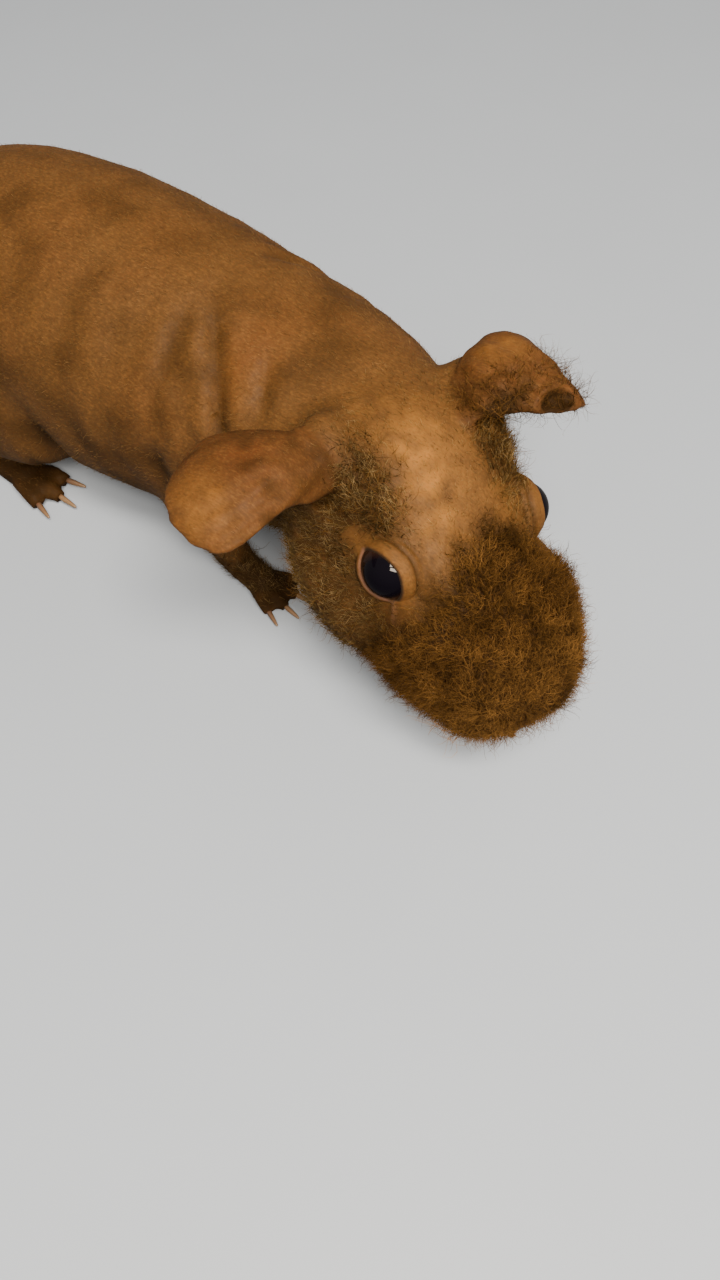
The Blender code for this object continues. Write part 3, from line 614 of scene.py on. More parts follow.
def shape_lids(points, side):
    """Draws the lids, their creases and the corner's small swelling round an eye, and marks the lid edges
    and the painted shade on the rims and in the creases.
    """
    way, reach, forward, up = round_eye(points, side)
    near = (way[:, 2] > -0.1) & (reach < 11)
    slit = slit_share(forward, up)
    eyeball = eyeball_reach(way[:, 2])
    upper = eased(-0.8, 1.2, up)
    lid = eyeball - 0.9 + 1.0 * eased(0.90, 1.0, slit)
    lid += 0.34 * eased(0.985, 1.08, slit) + 0.20 * eased(1.06, 1.34, slit)
    lid += upper * 0.12 * bump_at(slit, 1.32, 0.18)
    lid += (1 - upper) * 0.10 * bump_at(slit, 1.22, 0.12)
    hold = (1 - eased(1.40, 2.05, slit)) * eased(0.12, 0.42, way[:, 2])
    fresh = lid * hold + np.maximum(reach, eyeball + 0.35) * (1 - hold)
    crease = (0.12 + upper * 0.30) * bump_at(slit, 1.52, 0.07)
    crease += upper * 0.16 * bump_at(slit, 1.78, 0.07) + (1 - upper) * 0.08 * bump_at(slit, 1.34, 0.05)
    fresh -= crease * eased(0.10, 0.30, way[:, 2])
    fresh += 0.70 * ball(np.stack([forward, up], 1), (6.0, -0.4), (0.6, 0.5))
    moved = carried(way * np.where(near, fresh, reach)[:, None] * MM, eye_pose(side))
    rim = eased(0.94, 0.985, slit) * (1 - eased(1.02, 1.09, slit)) * (1 - eased(6.2, 6.8, forward))
    edge = np.where(near, rim * (1 - 0.85 * upper), 0)
    # Painted shade along the upper lid's rim and in a thin ring where the lids meet the eye
    lash = np.where(near, rim * upper + 0.7 * bump_at(slit, 0.95, 0.05), 0)
    lids = np.where(near, eased(0.9, 1.0, slit) * (1 - eased(1.12, 1.55, slit)), 0)
    # Painted shade in the creases round the lids
    fold = bump_at(slit, 1.52, 0.07) * (0.35 + 0.65 * upper) + 0.5 * upper * bump_at(slit, 1.78, 0.06)
    fold = np.where(near, fold, 0)
    return np.where(near[:, None], moved, points), edge, lash, lids, fold


def ease_sockets(points, edges):
    """Fills the grooves round the eyes and the ears' roots, where they run out into the head."""
    weights = np.zeros(len(points))
    for _, side in SIDES:
        way, reach, _, _ = round_eye(points, side)
        weights += (1 - eased(9.5, 12.5, reach)) * (1 - 0.9 * eased(0.5, 0.8, way[:, 2]))
    head = in_head(points)
    for side_name, side in SIDES:
        root = np.array(on_side(EAR_ROOT[side_name], side))
        weights += 0.8 * ball(head, root + (-1.5 * side, 0, 0.5), (6.0, 7.5, 7.0))
    return relax(points, edges, np.clip(weights, 0, 1), ROUNDS["sockets"])


def on_skin(path, tree):
    """A path of the head's frame drawn onto the skin."""
    return np.array([tree.find_nearest(HEAD_POSE @ Vector(p * MM))[0] for p in path])


def shape_mouth(mesh, points, normals, head):
    """The nostrils, the cleft under them, the mouth line and its lips."""
    near = head[:, 1] < -22
    tree = surface(points, (p for p in mesh.polygons if near[p.vertices[0]]))
    depth = np.zeros(len(points))
    wet = np.zeros(len(points))
    front = np.nonzero(near)[0]
    line = [(-x, y, z) for x, y, z in reversed(MOUTH_LINE[1:])] + list(MOUTH_LINE)
    mouth = how_far(points[front], on_skin(on_curve(line, 24), tree)) / MM
    cleft = how_far(points[front], on_skin(on_curve(LIP_CLEFT, 30), tree)) / MM
    depth[front] += 1.1 * bump_at(mouth, 0, 0.42) - 0.35 * bump_at(mouth, 1.25, 0.7)
    depth[front] += 0.75 * bump_at(cleft, 0, 0.36) - 0.25 * bump_at(cleft, 1.1, 0.6)
    # wet marks the mouth line, the cleft and the nostrils: bare of hair, and painted dark as the shade in
    # these hollows
    wet[front] = np.maximum(bump_at(mouth, 0, 0.6), bump_at(cleft, 0, 0.6))
    tip = head[:, 1] < -33
    for side in (1, -1):
        across = head[:, 0] * side - NOSTRIL[0]
        rise = head[:, 2] - NOSTRIL[1]
        along = across * 0.80 + rise * 0.60 - 0.18 * across**2
        over = -across * 0.60 + rise * 0.80
        hole = bump_at(over, 0, 0.52) * bump_at(along, 0, 1.25) * tip
        rim = bump_at(np.sqrt((over / 1.0) ** 2 + (along / 1.9) ** 2), 1.0, 0.35) * tip
        depth += 2.0 * hole - 0.22 * rim
        wet = np.maximum(wet, hole)
    return points - normals * (depth * MM)[:, None], wet


def ear_lines(head, side_name, side):
    """How far out along an ear from its root a place is, and how far across, in mm."""
    root = np.array(on_side(EAR_ROOT[side_name], side))
    out = {"left": (0.25, -0.85, 0.42), "right": (-0.93, 0.05, -0.36)}[side_name]
    out = np.array(out) / np.linalg.norm(out)
    across = np.cross(out, (0, -0.7, 0.7))
    across /= np.linalg.norm(across)
    return (head - root) @ out, (head - root) @ across


def ridge_ears(points, normals, head, ears):
    """Ridges that run out from an ear's root, and a slightly wavy edge."""
    lift = np.zeros(len(points))
    for side_name, side in SIDES:
        out, across = ear_lines(head, side_name, side)
        mine = ears * (head[:, 0] * side > 8)
        bands = np.cos(across * 1.35 + 0.35 * np.sin(out * 0.35))
        lift += mine * (0.30 * bands * eased(1, 4, out) * (1 - eased(11, 18, out)))
        lift += mine * 0.10 * np.cos(across * 2.9 + out * 0.22) * eased(8, 14, out)
    facing = normals @ HEAD_UP
    curl = tip_curl(head)
    behind = eased(-1.0, 1.5, head[:, 1] - 12.2)
    folds = 0.50 * behind * bump_at(curl, 1.25, 0.25) - 1.3 * (1 - eased(0.65, 1.0, curl))
    folds -= 0.50 * bump_at(lobe_line(head), 0, 1.1)
    lift += ears * eased(0.1, 0.5, facing) * folds
    crumple = 0.9 * cloudy(head * (0.5, 1.5, 1.0), 5.0, 13) * ball(head, (-27.0, 21.0, 9.0), (8, 9, 9))
    crumple += 0.7 * cloudy(head, 4.0, 14) * ball(head, (15.0, 20.0, 15.0), (5, 5, 5))
    points = points + np.outer(ears * crumple * MM, HEAD_UP)
    return points + normals * (lift * MM)[:, None]


def tip_curl(head):
    """How far a place is from the middle of the hollow at the left ear's tip: 1 on its rim."""
    away = head - np.array((22.2, 12.2, 18.3))
    across = (away[:, 0] + 0.3 * away[:, 1]) / 4.0
    along = (away[:, 1] - 0.1 * away[:, 0]) / 2.5
    return np.sqrt(across**2 + along**2 + (away[:, 2] / 6) ** 2)


def lobe_line(head):
    """How far a place is from the groove under the left ear's lobe, in mm."""
    along = head[:, 0] - 13.7
    near = (along > -1) & (along < 12) & (head[:, 2] > 11)
    return np.where(near, head[:, 1] - (22.4 - 0.38 * along), 99)


def refine(mesh, chosen):
    """Splits the faces whose points are chosen into four."""
    form = bmesh.new()
    form.from_mesh(mesh)
    form.verts.ensure_lookup_table()
    edges = {e for v in np.nonzero(chosen)[0] for e in form.verts[int(v)].link_edges}
    bmesh.ops.subdivide_edges(form, edges=list(edges), cuts=1, use_grid_fill=True)
    form.to_mesh(mesh)
    form.free()


def fine_places(points, level):
    """The places that need a finer grid: round the eyes, and the nose and mouth."""
    head = in_head(points)
    chosen = np.zeros(len(points), bool)
    for _, side in SIDES:
        local = carried(points, eye_pose(side).inverted()) / MM
        reach = np.linalg.norm(local, axis=1)
        tilt = local[:, 2] / reach
        wide = reach < 10.5
        if level == 1:
            chosen |= wide & (tilt > 0.05)
        else:
            chosen |= wide & (tilt > 0.36) & (tilt < 0.93)
    if level == 1:
        chosen |= (head[:, 1] < -31) & (head[:, 2] > -22)
    return chosen


def build_form(settings):
    """The skin's mesh: flesh in one piece, smoothed, drawn in and shaped."""
    skin = object_of("skin", grown_flesh())
    fuse = skin.modifiers.new("fuse", "REMESH")
    fuse.mode = "VOXEL"
    fuse.voxel_size = settings.cell
    settled(skin)
    mesh = skin.data
    points = points_of(mesh)
    edges = edges_of(mesh)
    head, is_head, ears, feet = regions(points)
    soft = 1 - 0.6 * np.clip(ears, 0, 1) - 0.75 * np.clip(feet, 0, 1) * (1 - ears)
    points = relax(points, edges, np.clip(soft, 0.2, 1), ROUNDS["all"])
    trunk = (1 - is_head) * (1 - np.clip(ears + feet, 0, 1))
    points = relax(points, edges, trunk, ROUNDS["trunk"])
    points = ease_sockets(points, edges)
    depth = coat_depth(head, is_head, ears, feet, settings)
    move_points(mesh, points)
    points = points - normals_of(mesh) * (depth + GROWN * (1 - 0.7 * ears))[:, None]
    points = relax(points, edges, soft, ROUNDS["last"])
    move_points(mesh, points)
    for level in (1, 2):
        refine(mesh, fine_places(points_of(mesh), level))
    return skin


def muzzle_share(head):
    """Where the dense coat of the muzzle grows, 0 to 1."""
    line = -1.9 - np.minimum(3.0 * ((head[:, 0] - 1) / 11) ** 2, 4.8) - 2.0 * eased(4, 12, head[:, 0])
    line = line - 3.6 * eased(6, -2, head[:, 2]) + 0.6 * np.sin(head[:, 0] * 0.9)
    line = line - 2.4 * bump_at(head[:, 0], -10.0, 3.5) * eased(2, 6, head[:, 2])
    coat = 1 - eased(line - 5.0, line + 3.5, head[:, 1])
    for side in (1, -1):
        corner = ball(head, on_side((15.6, -6.6, 1.2), side), (4.6, 4.6, 5.2))
        coat *= 1 - np.clip(corner * 1.3, 0, 1)
    return coat


def nose_share(head):
    """The bare tip of the nose round the nostrils, 0 to 1."""
    return np.clip(1.5 * ball(head, (0, -38.5, -9.0), (5.2, 3.4, 3.6)), 0, 1)


def taper_muzzle(head):
    """How far the muzzle's sides move to narrow it to its right end, in mm."""
    inward = 2.5 * ball(head, (-17.5, -29.0, -5.0), (7.0, 7.0, 9.0))
    outward = 1.1 * ball(head, (6.0, -34.0, -1.0), (6.0, 6.0, 6.0))
    way = np.outer(inward, (1.0, 0.25, 0.0)) + np.outer(outward, (0.3, -0.75, 0.3))
    return way @ HEAD_TURN.T


def coat_depth(head, is_head, ears, feet, settings):
    """How far the skin lies inside the solids, in metres."""
    muzzle = muzzle_share(head) * (1 - 0.75 * nose_share(head)) * is_head
    depth = settings.body_depth + (settings.face_depth - settings.body_depth) * is_head
    depth = depth + (settings.muzzle_depth - settings.face_depth) * muzzle
    return depth * (1 - 0.9 * ears) * (1 - 0.6 * feet)


def shape_skin(skin):
    """Creases, lids, mouth, nostrils and ear ridges, and what the finish needs to know of them."""
    mesh = skin.data
    points = points_of(mesh)
    head, is_head, ears, feet = regions(points)
    points = points + taper_muzzle(head) * is_head[:, None] * MM
    head = in_head(points)
    move_points(mesh, points)
    trunk = (1 - is_head) * (1 - np.clip(ears + feet, 0, 1))
    creased, crease = crease_trunk(points, normals_of(mesh))
    points = points + (creased - points) * trunk[:, None]
    points = points + normals_of(mesh) * (fine_wrinkles(points, trunk) * MM)[:, None]
    points = ridge_ears(points, normals_of(mesh), head, ears)
    points, wet = shape_mouth(mesh, points, normals_of(mesh), head)
    # crease carries the trunk's creases, which the skin's colour darkens as painted shade
    marks = {"ears": ears, "feet": feet, "is_head": is_head, "crease": crease * trunk, "wet": wet}
    for _, side in SIDES:
        points, *found = shape_lids(points, side)
        for name, values in zip(("edge", "lash", "lids", "fold"), found):
            marks[name] = np.maximum(marks.get(name, 0), values)
    move_points(mesh, points)
    for name, values in marks.items():
        keep_values(mesh, name, values)


def fine_wrinkles(points, trunk):
    """Shallow wavy wrinkles of loose skin across the trunk, in mm."""
    body = in_body(points)
    waves = cloudy(body * np.array((0.45, 1.0, 0.45)), 3.2, 3)
    broad = cloudy(body, 9.0, 4)
    return trunk * (0.10 * waves + 0.22 * broad)


def thin_skin(skin, triangles):
    """Fewer triangles, with the head keeping most of its own."""
    mesh = skin.data
    have = sum(len(p.vertices) - 2 for p in mesh.polygons)
    if have <= triangles:
        return
    is_head = kept_values(mesh, "is_head")
    ears = kept_values(mesh, "ears")
    near_eyes = fine_places(points_of(mesh), 1)
    weights = np.clip(0.22 + 0.35 * np.maximum(is_head, ears) + 0.38 * near_eyes, 0, 0.95)
    group = skin.vertex_groups.new(name="fine")
    steps = np.round(weights, 2)
    for value in np.unique(steps):
        group.add([int(i) for i in np.nonzero(steps == value)[0]], float(value), "REPLACE")
    thin = skin.modifiers.new("thin", "DECIMATE")
    thin.ratio = triangles / have
    thin.vertex_group = group.name
    thin.invert_vertex_group = True
    thin.use_collapse_triangulate = True
    settled(skin)
    skin.vertex_groups.clear()


# The skin's marks, which the coat shares


def mark_skin(mesh):
    """Stores how pale, dark, red and rosy each place is, painted shade and sheen among them, and how the
    coat grows there.
    """
    points = points_of(mesh)
    head = in_head(points)
    is_head, ears, feet = several_kept(mesh, "is_head", "ears", "feet")
    lids, crease, wet = several_kept(mesh, "lids", "crease", "wet")
    blotch = cloudy(head, 3.4, 7)
    speck = cloudy(head, 1.3, 8)
    muzzle = muzzle_share(head + (blotch * 1.6)[:, None]) * is_head
    nose = nose_share(head) * is_head
    pale = spots(head, PALE_SPOTS) + spots(head, PALE_EAR_ROOT) * np.clip(2.5 * blotch, 0, 1)
    pale *= is_head * np.clip(1 - 1.2 * muzzle, 0, 1) * np.clip(0.8 + 1.1 * blotch, 0, 1.3)
    # The ears' lobes paler as painted sheen
    pale = np.clip(pale + 0.30 * lids + 0.60 * lobe_sheen(head) * np.clip(0.7 + blotch, 0, 1), 0, 1)
    tufts = tuft_share(head) * is_head
    cheek = cheek_share(head) * is_head
    wide = muzzle_share(head - (0, 2.5, 0) + (blotch * 2.2)[:, None]) * is_head
    # Painted shade: darker in the trunk's creases (crease) and in the mouth line, lip cleft and nostrils
    # (wet)
    dark = 0.7 * muzzle * (1 - nose) + 0.25 * wide + 0.75 * tufts + 0.55 * crease + 0.7 * wet
    # Cheeks and jaw darker low on the head: partly the skin under their fuzz, partly painted shade
    dark += 0.80 * cheek * np.clip(0.75 + blotch, 0, 1) + 0.5 * feet
    # Ears less dark where their lobes carry painted sheen
    dark += 0.45 * ears * (1 - lobe_sheen(head)) * np.clip(0.35 + 1.2 * blotch, 0, 1)
    dark += 0.6 * (1 - is_head) * np.clip(0.1 - 1.2 * cloudy(head, 9.0, 9), 0, 0.7)
    # Painted shade: the trunk darker low down, towards the floor
    dark += 0.30 * (1 - is_head) * eased(52, 26, points[:, 2] / MM)
    dark += spots(head, DARK_EAR_BAND) * np.clip(0.8 + blotch, 0, 1)
    dark += spots(head, DARK_SPOTS)
    # Painted shade in the ears' hollows
    dark += hollow_shade(head, normals_of(mesh))
    dark *= 1 - 0.6 * lids
    # Ears less red where their lobes carry painted sheen
    red = 0.60 * ears * (1 - 0.6 * lobe_sheen(head)) + spots(head, RED_SPOTS)
    red += 0.15 * nose + 0.30 * (1 - is_head) * np.clip(cloudy(head, 14.0, 10) + 0.15, 0, 1)
    # The shoulder's swelling warmer in colour, and paler as a painted highlight
    red += 0.45 * shoulder_tint_and_highlight(points)
    pale = np.clip(pale + 0.30 * shoulder_tint_and_highlight(points), 0, 1)
    marks = {"pale": pale, "dark": dark, "red": red, "muzzle": muzzle}
    marks.update({"nose": nose, "blotch": 0.5 + 0.5 * blotch + 0.25 * speck})
    for name, values in marks.items():
        keep_values(mesh, name, np.clip(values, 0, 1))
    mark_coat(mesh, points, head, tufts, cheek)


def tuft_share(head):
    """The darker fuzz in front of the ears, 0 to 1."""
    total = spots(head, TUFTS, (1, -1)) + spots(head, LEFT_TUFTS)
    return np.clip(total * 1.15, 0, 1)


def cheek_share(head):
    """The cheeks and jaw, 0 to 1."""
    low = eased(1.0, -6.0, head[:, 2])
    return low * eased(-16, -8, head[:, 1]) * (1 - eased(18, 30, head[:, 1]))


def shoulder_tint_and_highlight(points):
    """The smooth swelling between the shoulder's creases, painted warmer, and paler as a painted
    highlight.
    """
    return ball(in_body(points), (-15.8, 1.8, 58.0), (11.0, 5.0, 8.5))


def lobe_sheen(head):
    """Painted sheen on the thin lobes of the ears, 0 to 1."""
    return np.clip(spots(head, LOBE_SHEEN), 0, 1)


def hollow_shade(head, normals):
    """Painted shade in the ears' hollows: the pits at their roots, the underside of the left ear and the
    hollow of its curled tip.
    """
    total = np.zeros(len(head))
    for side_name, side in SIDES:
        out, _ = ear_lines(head, side_name, side)
        total += 0.9 * ball(head, on_side(EAR_PIT, side), (3.4, 4.2, 4.2))
        if side_name == "left":
            facing = normals @ HEAD_UP
            mine = (out > -2) & (out < 26) & (head[:, 0] > 12) & (head[:, 1] > 6)
            total += 0.8 * mine * eased(-0.1, -0.6, facing)
            total += eased(0.1, 0.4, facing) * (1 - eased(0.80, 1.02, tip_curl(head)))
    return np.clip(total, 0, 1)


def mark_coat(mesh, points, head, tufts, cheek):
    """Stores how densely the fuzz grows at each place, how long, and which way it lies."""
    is_head, ears, feet = several_kept(mesh, "is_head", "ears", "feet")
    lids, edge, wet = several_kept(mesh, "lids", "edge", "wet")
    muzzle, nose, blotch = several_kept(mesh, "muzzle", "nose", "blotch")
    bare = (1 - np.clip(lids * 1.3 + edge, 0, 1)) * (1 - wet)
    bare *= 1 - np.clip(eye_opening(points), 0, 1)
    height = points[:, 2] / MM
    patch = cloudy(head, 2.1, 31)
    short = (1 - 0.5 * bump_at(head[:, 1], -39, 6) * is_head) * (1 + 0.26 * patch)
    bare_brow = 1 - 0.6 * np.clip(kept_values(mesh, "pale"), 0, 1)
    face = is_head * (1 - 0.9 * muzzle) * (0.22 + 1.3 * tufts + 1.25 * cheek + 0.5 * blotch) * bare_brow
    near = 1 - 0.45 * eased(0.02, 0.06, points[:, 1])
    body = (1 - is_head) * (1 - ears) * (0.5 + 0.8 * blotch) * (1 + feet) * near
    ridge = ears * (head[:, 0] > 0) * (1 - eased(18, 27, head[:, 1]))
    fringe = muzzle * (1 - 0.85 * nose) + 0.9 * tufts + 0.5 * ridge * is_head + 0.22 * cheek
    grows = {
        "muzzle": muzzle * (1 - 0.9 * nose),
        "fringe": np.where(fringe > 0.12, fringe, 0) * eased(4.0, 9.0, height),
        "face": np.where(face * (1 - ears) > 0.03, face * (1 - ears), 0),
        "body": body + (0.6 + 0.8 * ridge) * ears * eased(0.9, 1.1, tip_curl(head)),
        "whisker": whisker_share(head) * is_head * eased(8.0, 12.0, height),
    }
    sizes = {
        "muzzle": short * (0.45 + 0.55 * muzzle),
        "fringe": 0.8 + 0.2 * patch,
        "face": (0.70 + 0.8 * tufts + 0.30 * cheek) * (1 + 0.25 * patch),
        "body": 1.0 - 0.4 * ears - 0.15 * feet,
        "whisker": np.ones(len(head)),
    }
    for zone, values in grows.items():
        keep_values(mesh, "grow_" + zone, np.clip(values, 0, 2) * bare * eased(*FLOOR_GAP, height))
        keep_values(mesh, "size_" + zone, sizes[zone])
    keep_values(mesh, "lie", coat_lie(mesh, head, is_head), "FLOAT_VECTOR")
    keep_values(mesh, "rise", np.clip(1 + 0.55 * cloudy(head, 2.4, 32), 0.3, 1.8))
    gold = eased(-18, -30, head[:, 1]) * eased(-18, -11, head[:, 0]) + 0.9 * (blotch - 0.45)
    keep_values(mesh, "gold", np.clip(gold, 0, 1))


def whisker_share(head):
    """The whiskers' beds beside the nose, over the eyes and on the cheeks."""
    total = spots(head, WHISKER_BEDS, (1, -1))
    return np.where(total > 0.3, total, 0)


def eye_opening(points):
    """1 inside the lids' opening, where nothing grows."""
    total = np.zeros(len(points))
    for _, side in SIDES:
        way, reach, forward, up = round_eye(points, side)
        near = (reach < 9.5) & (way[:, 2] > 0)
        total += near * (1 - eased(1.15, 1.5, slit_share(forward, up)))
    return total


def coat_lie(mesh, head, is_head):
    """The way the hair lies: backwards with swirls on the head, back and down on the body."""
    normals = normals_of(mesh)
    back = HEAD_TURN @ (0, 1, 0.1)
    aside = HEAD_TURN[:, 0]
    lie = np.tile(back, (len(head), 1)) + np.outer(np.tanh(head[:, 0] / 14) * 0.6, aside)
    far = eased(24, 40, head[:, 1])[:, None]
    lie = lie * (1 - far) + np.array((0.0, 0.9, -0.45)) * far
    swirl = (0.5 + 0.9 * is_head) * (1.1 * cloudy(head, 3.4, 33) + 0.8 * cloudy(head, 7.0, 34))
    lie = lie * np.cos(swirl)[:, None] + np.cross(normals, lie) * np.sin(swirl)[:, None]
    clump = (0.5 + 1.1 * kept_values(mesh, "muzzle")) * is_head
    lie += clump[:, None] * (slope_of(head, 1.7, 35) @ HEAD_TURN.T)
    lie -= normals * (lie * normals).sum(1)[:, None]
    lie /= np.maximum(np.linalg.norm(lie, axis=1), 1e-6)[:, None]
    return lie


# Node trees


def feed(tree, node, inputs):
    """Links or sets inputs of a node by their names or places."""
    for name, value in inputs.items():
        if isinstance(value, bpy.types.NodeSocket):
            tree.links.new(value, node.inputs[name])
        else:
            node.inputs[name].default_value = value


def add_node(tree, kind, inputs=None, **settings):
    """A node with its settings and inputs."""
    made = tree.nodes.new(kind)
    for name, value in settings.items():
        setattr(made, name, value)
    feed(tree, made, inputs or {})
    return made


def values_node(tree, name, kind="FLOAT"):
    made = add_node(tree, "GeometryNodeInputNamedAttribute", {"Name": name}, data_type=kind)
    return made.outputs["Attribute"]


def random_node(tree, low, high, seed, kind="FLOAT"):
    """A random value for each place, from the tree's seed and the draw's own step."""
    spread = {"FLOAT_VECTOR": (0, 1, 0), "FLOAT": (2, 3, 1), "INT": (4, 5, 2)}[kind]
    inputs = {spread[0]: low, spread[1]: high, "Seed": seed}
    made = add_node(tree, "FunctionNodeRandomValue", inputs, data_type=kind)
    return made.outputs[spread[2]]


def math_node(tree, operation, first, second):
    return add_node(tree, "ShaderNodeMath", {0: first, 1: second}, operation=operation).outputs[0]


def product(tree, first, second):
    return math_node(tree, "MULTIPLY", first, second)


def later_seed(tree, seed, draw):
    """A seed of its own for each random value."""
    return math_node(tree, "ADD", seed, float(SEED_STEPS[draw]))


def ranged(tree, value, low, high, to_low, to_high):
    names = ("Value", "From Min", "From Max", "To Min", "To Max")
    inputs = dict(zip(names, (value, low, high, to_low, to_high)))
    return add_node(tree, "ShaderNodeMapRange", inputs).outputs["Result"]


def vector_node(tree, operation, first, second, place=1):
    inputs = {0: first, place: second}
    return add_node(tree, "ShaderNodeVectorMath", inputs, operation=operation).outputs["Vector"]


def scaled_by(tree, vector, factor):
    return vector_node(tree, "SCALE", vector, factor, "Scale")


def vector_sum(tree, first, second):
    return vector_node(tree, "ADD", first, second)


def stored(tree, geometry, name, value, kind, domain="POINT"):
    inputs = {"Geometry": geometry, "Name": name, "Value": value}
    made = add_node(tree, "GeometryNodeStoreNamedAttribute", inputs, data_type=kind, domain=domain)
    return made.outputs["Geometry"]


TUFT_INPUTS = (
    ("Skin", "NodeSocketGeometry", None),
    ("Hairs", "NodeSocketCollection", None),
    ("Unwrap", "NodeSocketObject", None),
    ("Material", "NodeSocketMaterial", None),
    ("Density", "NodeSocketFloat", 1.0e6),
    ("Stand", "NodeSocketFloat", 0.6),
    ("Mess", "NodeSocketFloat", 0.25),
    ("Swirl", "NodeSocketFloat", 1.2),
    ("Shortest", "NodeSocketFloat", 0.6),
    ("Patch", "NodeSocketFloat", 0.003),
    ("Seed", "NodeSocketInt", 1),
)


def tuft_tree():
    """The tree that grows hairs on a skin along its lie, each with its root's place on the unwrap."""
    made = bpy.data.node_groups.get("grow_hairs")
    if made:
        return made
    tree = bpy.data.node_groups.new("grow_hairs", "GeometryNodeTree")
    for name, kind, default in TUFT_INPUTS:
        socket = tree.interface.new_socket(name, in_out="INPUT", socket_type=kind)
        if default is not None:
            socket.default_value = default
    tree.interface.new_socket("Coat", in_out="OUTPUT", socket_type="NodeSocketGeometry")
    given = tree.nodes.new("NodeGroupInput").outputs
    seed = given["Seed"]
    density = product(tree, given["Density"], values_node(tree, "grow"))
    inputs = {"Mesh": given["Skin"], "Density": density, "Seed": seed}
    spread = add_node(tree, "GeometryNodeDistributePointsOnFaces", inputs, distribute_method="RANDOM")
    unwrap = add_node(tree, "GeometryNodeObjectInfo", {"Object": given["Unwrap"]})
    inputs = {"Mesh": unwrap.outputs["Geometry"], "Value": values_node(tree, "OFBake", "FLOAT_VECTOR")}
    root = add_node(tree, "GeometryNodeSampleNearestSurface", inputs, data_type="FLOAT_VECTOR")
    points = spread.outputs["Points"]
    points = stored(tree, points, "root_place", root.outputs["Value"], "FLOAT_VECTOR")
    shade = random_node(tree, 0.0, 1.0, later_seed(tree, seed, "shade"))
    points = stored(tree, points, "shade", shade, "FLOAT")
    inputs = {"Collection": given["Hairs"], "Separate Children": True, "Reset Children": True}
    hair = add_node(tree, "GeometryNodeCollectionInfo", inputs)
    size = random_node(tree, 0.0, 1.0, later_seed(tree, seed, "size"))
    size = ranged(tree, size, 0.0, 1.0, given["Shortest"], LONGEST)
    inputs = {
        "Points": points,
        "Instance": hair.outputs["Instances"],
        "Pick Instance": True,
        "Instance Index": random_node(tree, 0, HAIR_KINDS - 1, later_seed(tree, seed, "kind"), "INT"),
        "Rotation": hair_turn(tree, given, spread, seed),
        "Scale": product(tree, size, values_node(tree, "size")),
    }
    grown = add_node(tree, "GeometryNodeInstanceOnPoints", inputs).outputs["Instances"]
    real = add_node(tree, "GeometryNodeRealizeInstances", {"Geometry": grown}).outputs["Geometry"]
    patch = scaled_by(tree, values_node(tree, "strand", "FLOAT_VECTOR"), given["Patch"])
    place = vector_sum(tree, values_node(tree, "root_place", "FLOAT_VECTOR"), patch)
    real = stored(tree, real, "OFBake", place, "FLOAT2", "CORNER")
    inputs = {"Geometry": real, "Material": given["Material"]}
    painted = add_node(tree, "GeometryNodeSetMaterial", inputs)
    add_node(tree, "NodeGroupOutput", {"Coat": painted.outputs["Geometry"]})
    return tree


def hair_turn(tree, given, spread, seed):
    """How each hair is turned: up from the skin, leaning to its lie, bent along it and mussed."""
    lie = values_node(tree, "lie", "FLOAT_VECTOR")
    stand = product(tree, given["Stand"], values_node(tree, "rise"))
    up = scaled_by(tree, spread.outputs["Normal"], stand)
    rest = math_node(tree, "SUBTRACT", 1.0, given["Stand"])
    lean = vector_sum(tree, up, scaled_by(tree, lie, rest))
    other = later_seed(tree, seed, "muss")
    muss = random_node(tree, (-1.0, -1.0, -1.0), (1.0, 1.0, 1.0), other, "FLOAT_VECTOR")
    way = vector_sum(tree, lean, scaled_by(tree, muss, given["Mess"]))
    stood = add_node(tree, "FunctionNodeAlignRotationToVector", {"Vector": way}, axis="Z")
    inputs = {"Rotation": stood.outputs["Rotation"], "Vector": lie}
    bent = add_node(tree, "FunctionNodeAlignRotationToVector", inputs, axis="X", pivot_axis="Z")
    other = later_seed(tree, seed, "roll")
    back = product(tree, given["Swirl"], -1.0)
    roll = random_node(tree, back, given["Swirl"], other)
    spin = add_node(tree, "FunctionNodeAxisAngleToRotation", {"Axis": (0, 0, 1), "Angle": roll})
    inputs = {"Rotation": bent.outputs["Rotation"], "Rotate By": spin.outputs["Rotation"]}
    turned = add_node(tree, "FunctionNodeRotateRotation", inputs, rotation_space="LOCAL")
    return turned.outputs["Rotation"]


# Hairs


def hair_mesh(name, tall, thick, bend, wave, turn, rings):
    """One three-sided hair that tapers to a point, bent towards X, with its own small unwrap."""
    form = bmesh.new()
    strand = form.loops.layers.uv.new("strand")
    along = form.verts.layers.float.new("along")
    rows = []
    for up in rings:
        middle = hair_middle(tall, bend, wave, turn, up)
        radius = thick / 2 * (1 - up) ** 0.6
        row = []
        for corner in range(3):
            angle = 2 * math.pi * corner / 3
            offset = Vector((math.cos(angle), math.sin(angle), 0)) * radius
            vert = form.verts.new(middle + offset)
            vert[along] = up
            row.append(vert)
        rows.append(row)
    tip = form.verts.new(hair_middle(tall, bend, wave, turn, 1.0))
    tip[along] = 1.0
    for number, (low, high) in enumerate(zip(rows, rows[1:])):
        for corner in range(3):
            after = (corner + 1) % 3
            face = form.faces.new((low[corner], low[after], high[after], high[corner]))
            place = ((corner, 0), (corner + 1, 0), (corner + 1, 1), (corner, 1))
            for loop, (across, step) in zip(face.loops, place):
                loop[strand].uv = (across / 3, rings[number + step])
    for corner in range(3):
        after = (corner + 1) % 3
        face = form.faces.new((rows[-1][corner], rows[-1][after], tip))
        for loop, uv in zip(face.loops, ((corner, rings[-1]), (corner + 1, rings[-1]), (corner + 0.5, 1))):
            loop[strand].uv = (uv[0] / 3, uv[1])
    form.faces.new(reversed(rows[0]))
    mesh = mesh_of(name, form)
    smooth_shaded(mesh)
    return mesh


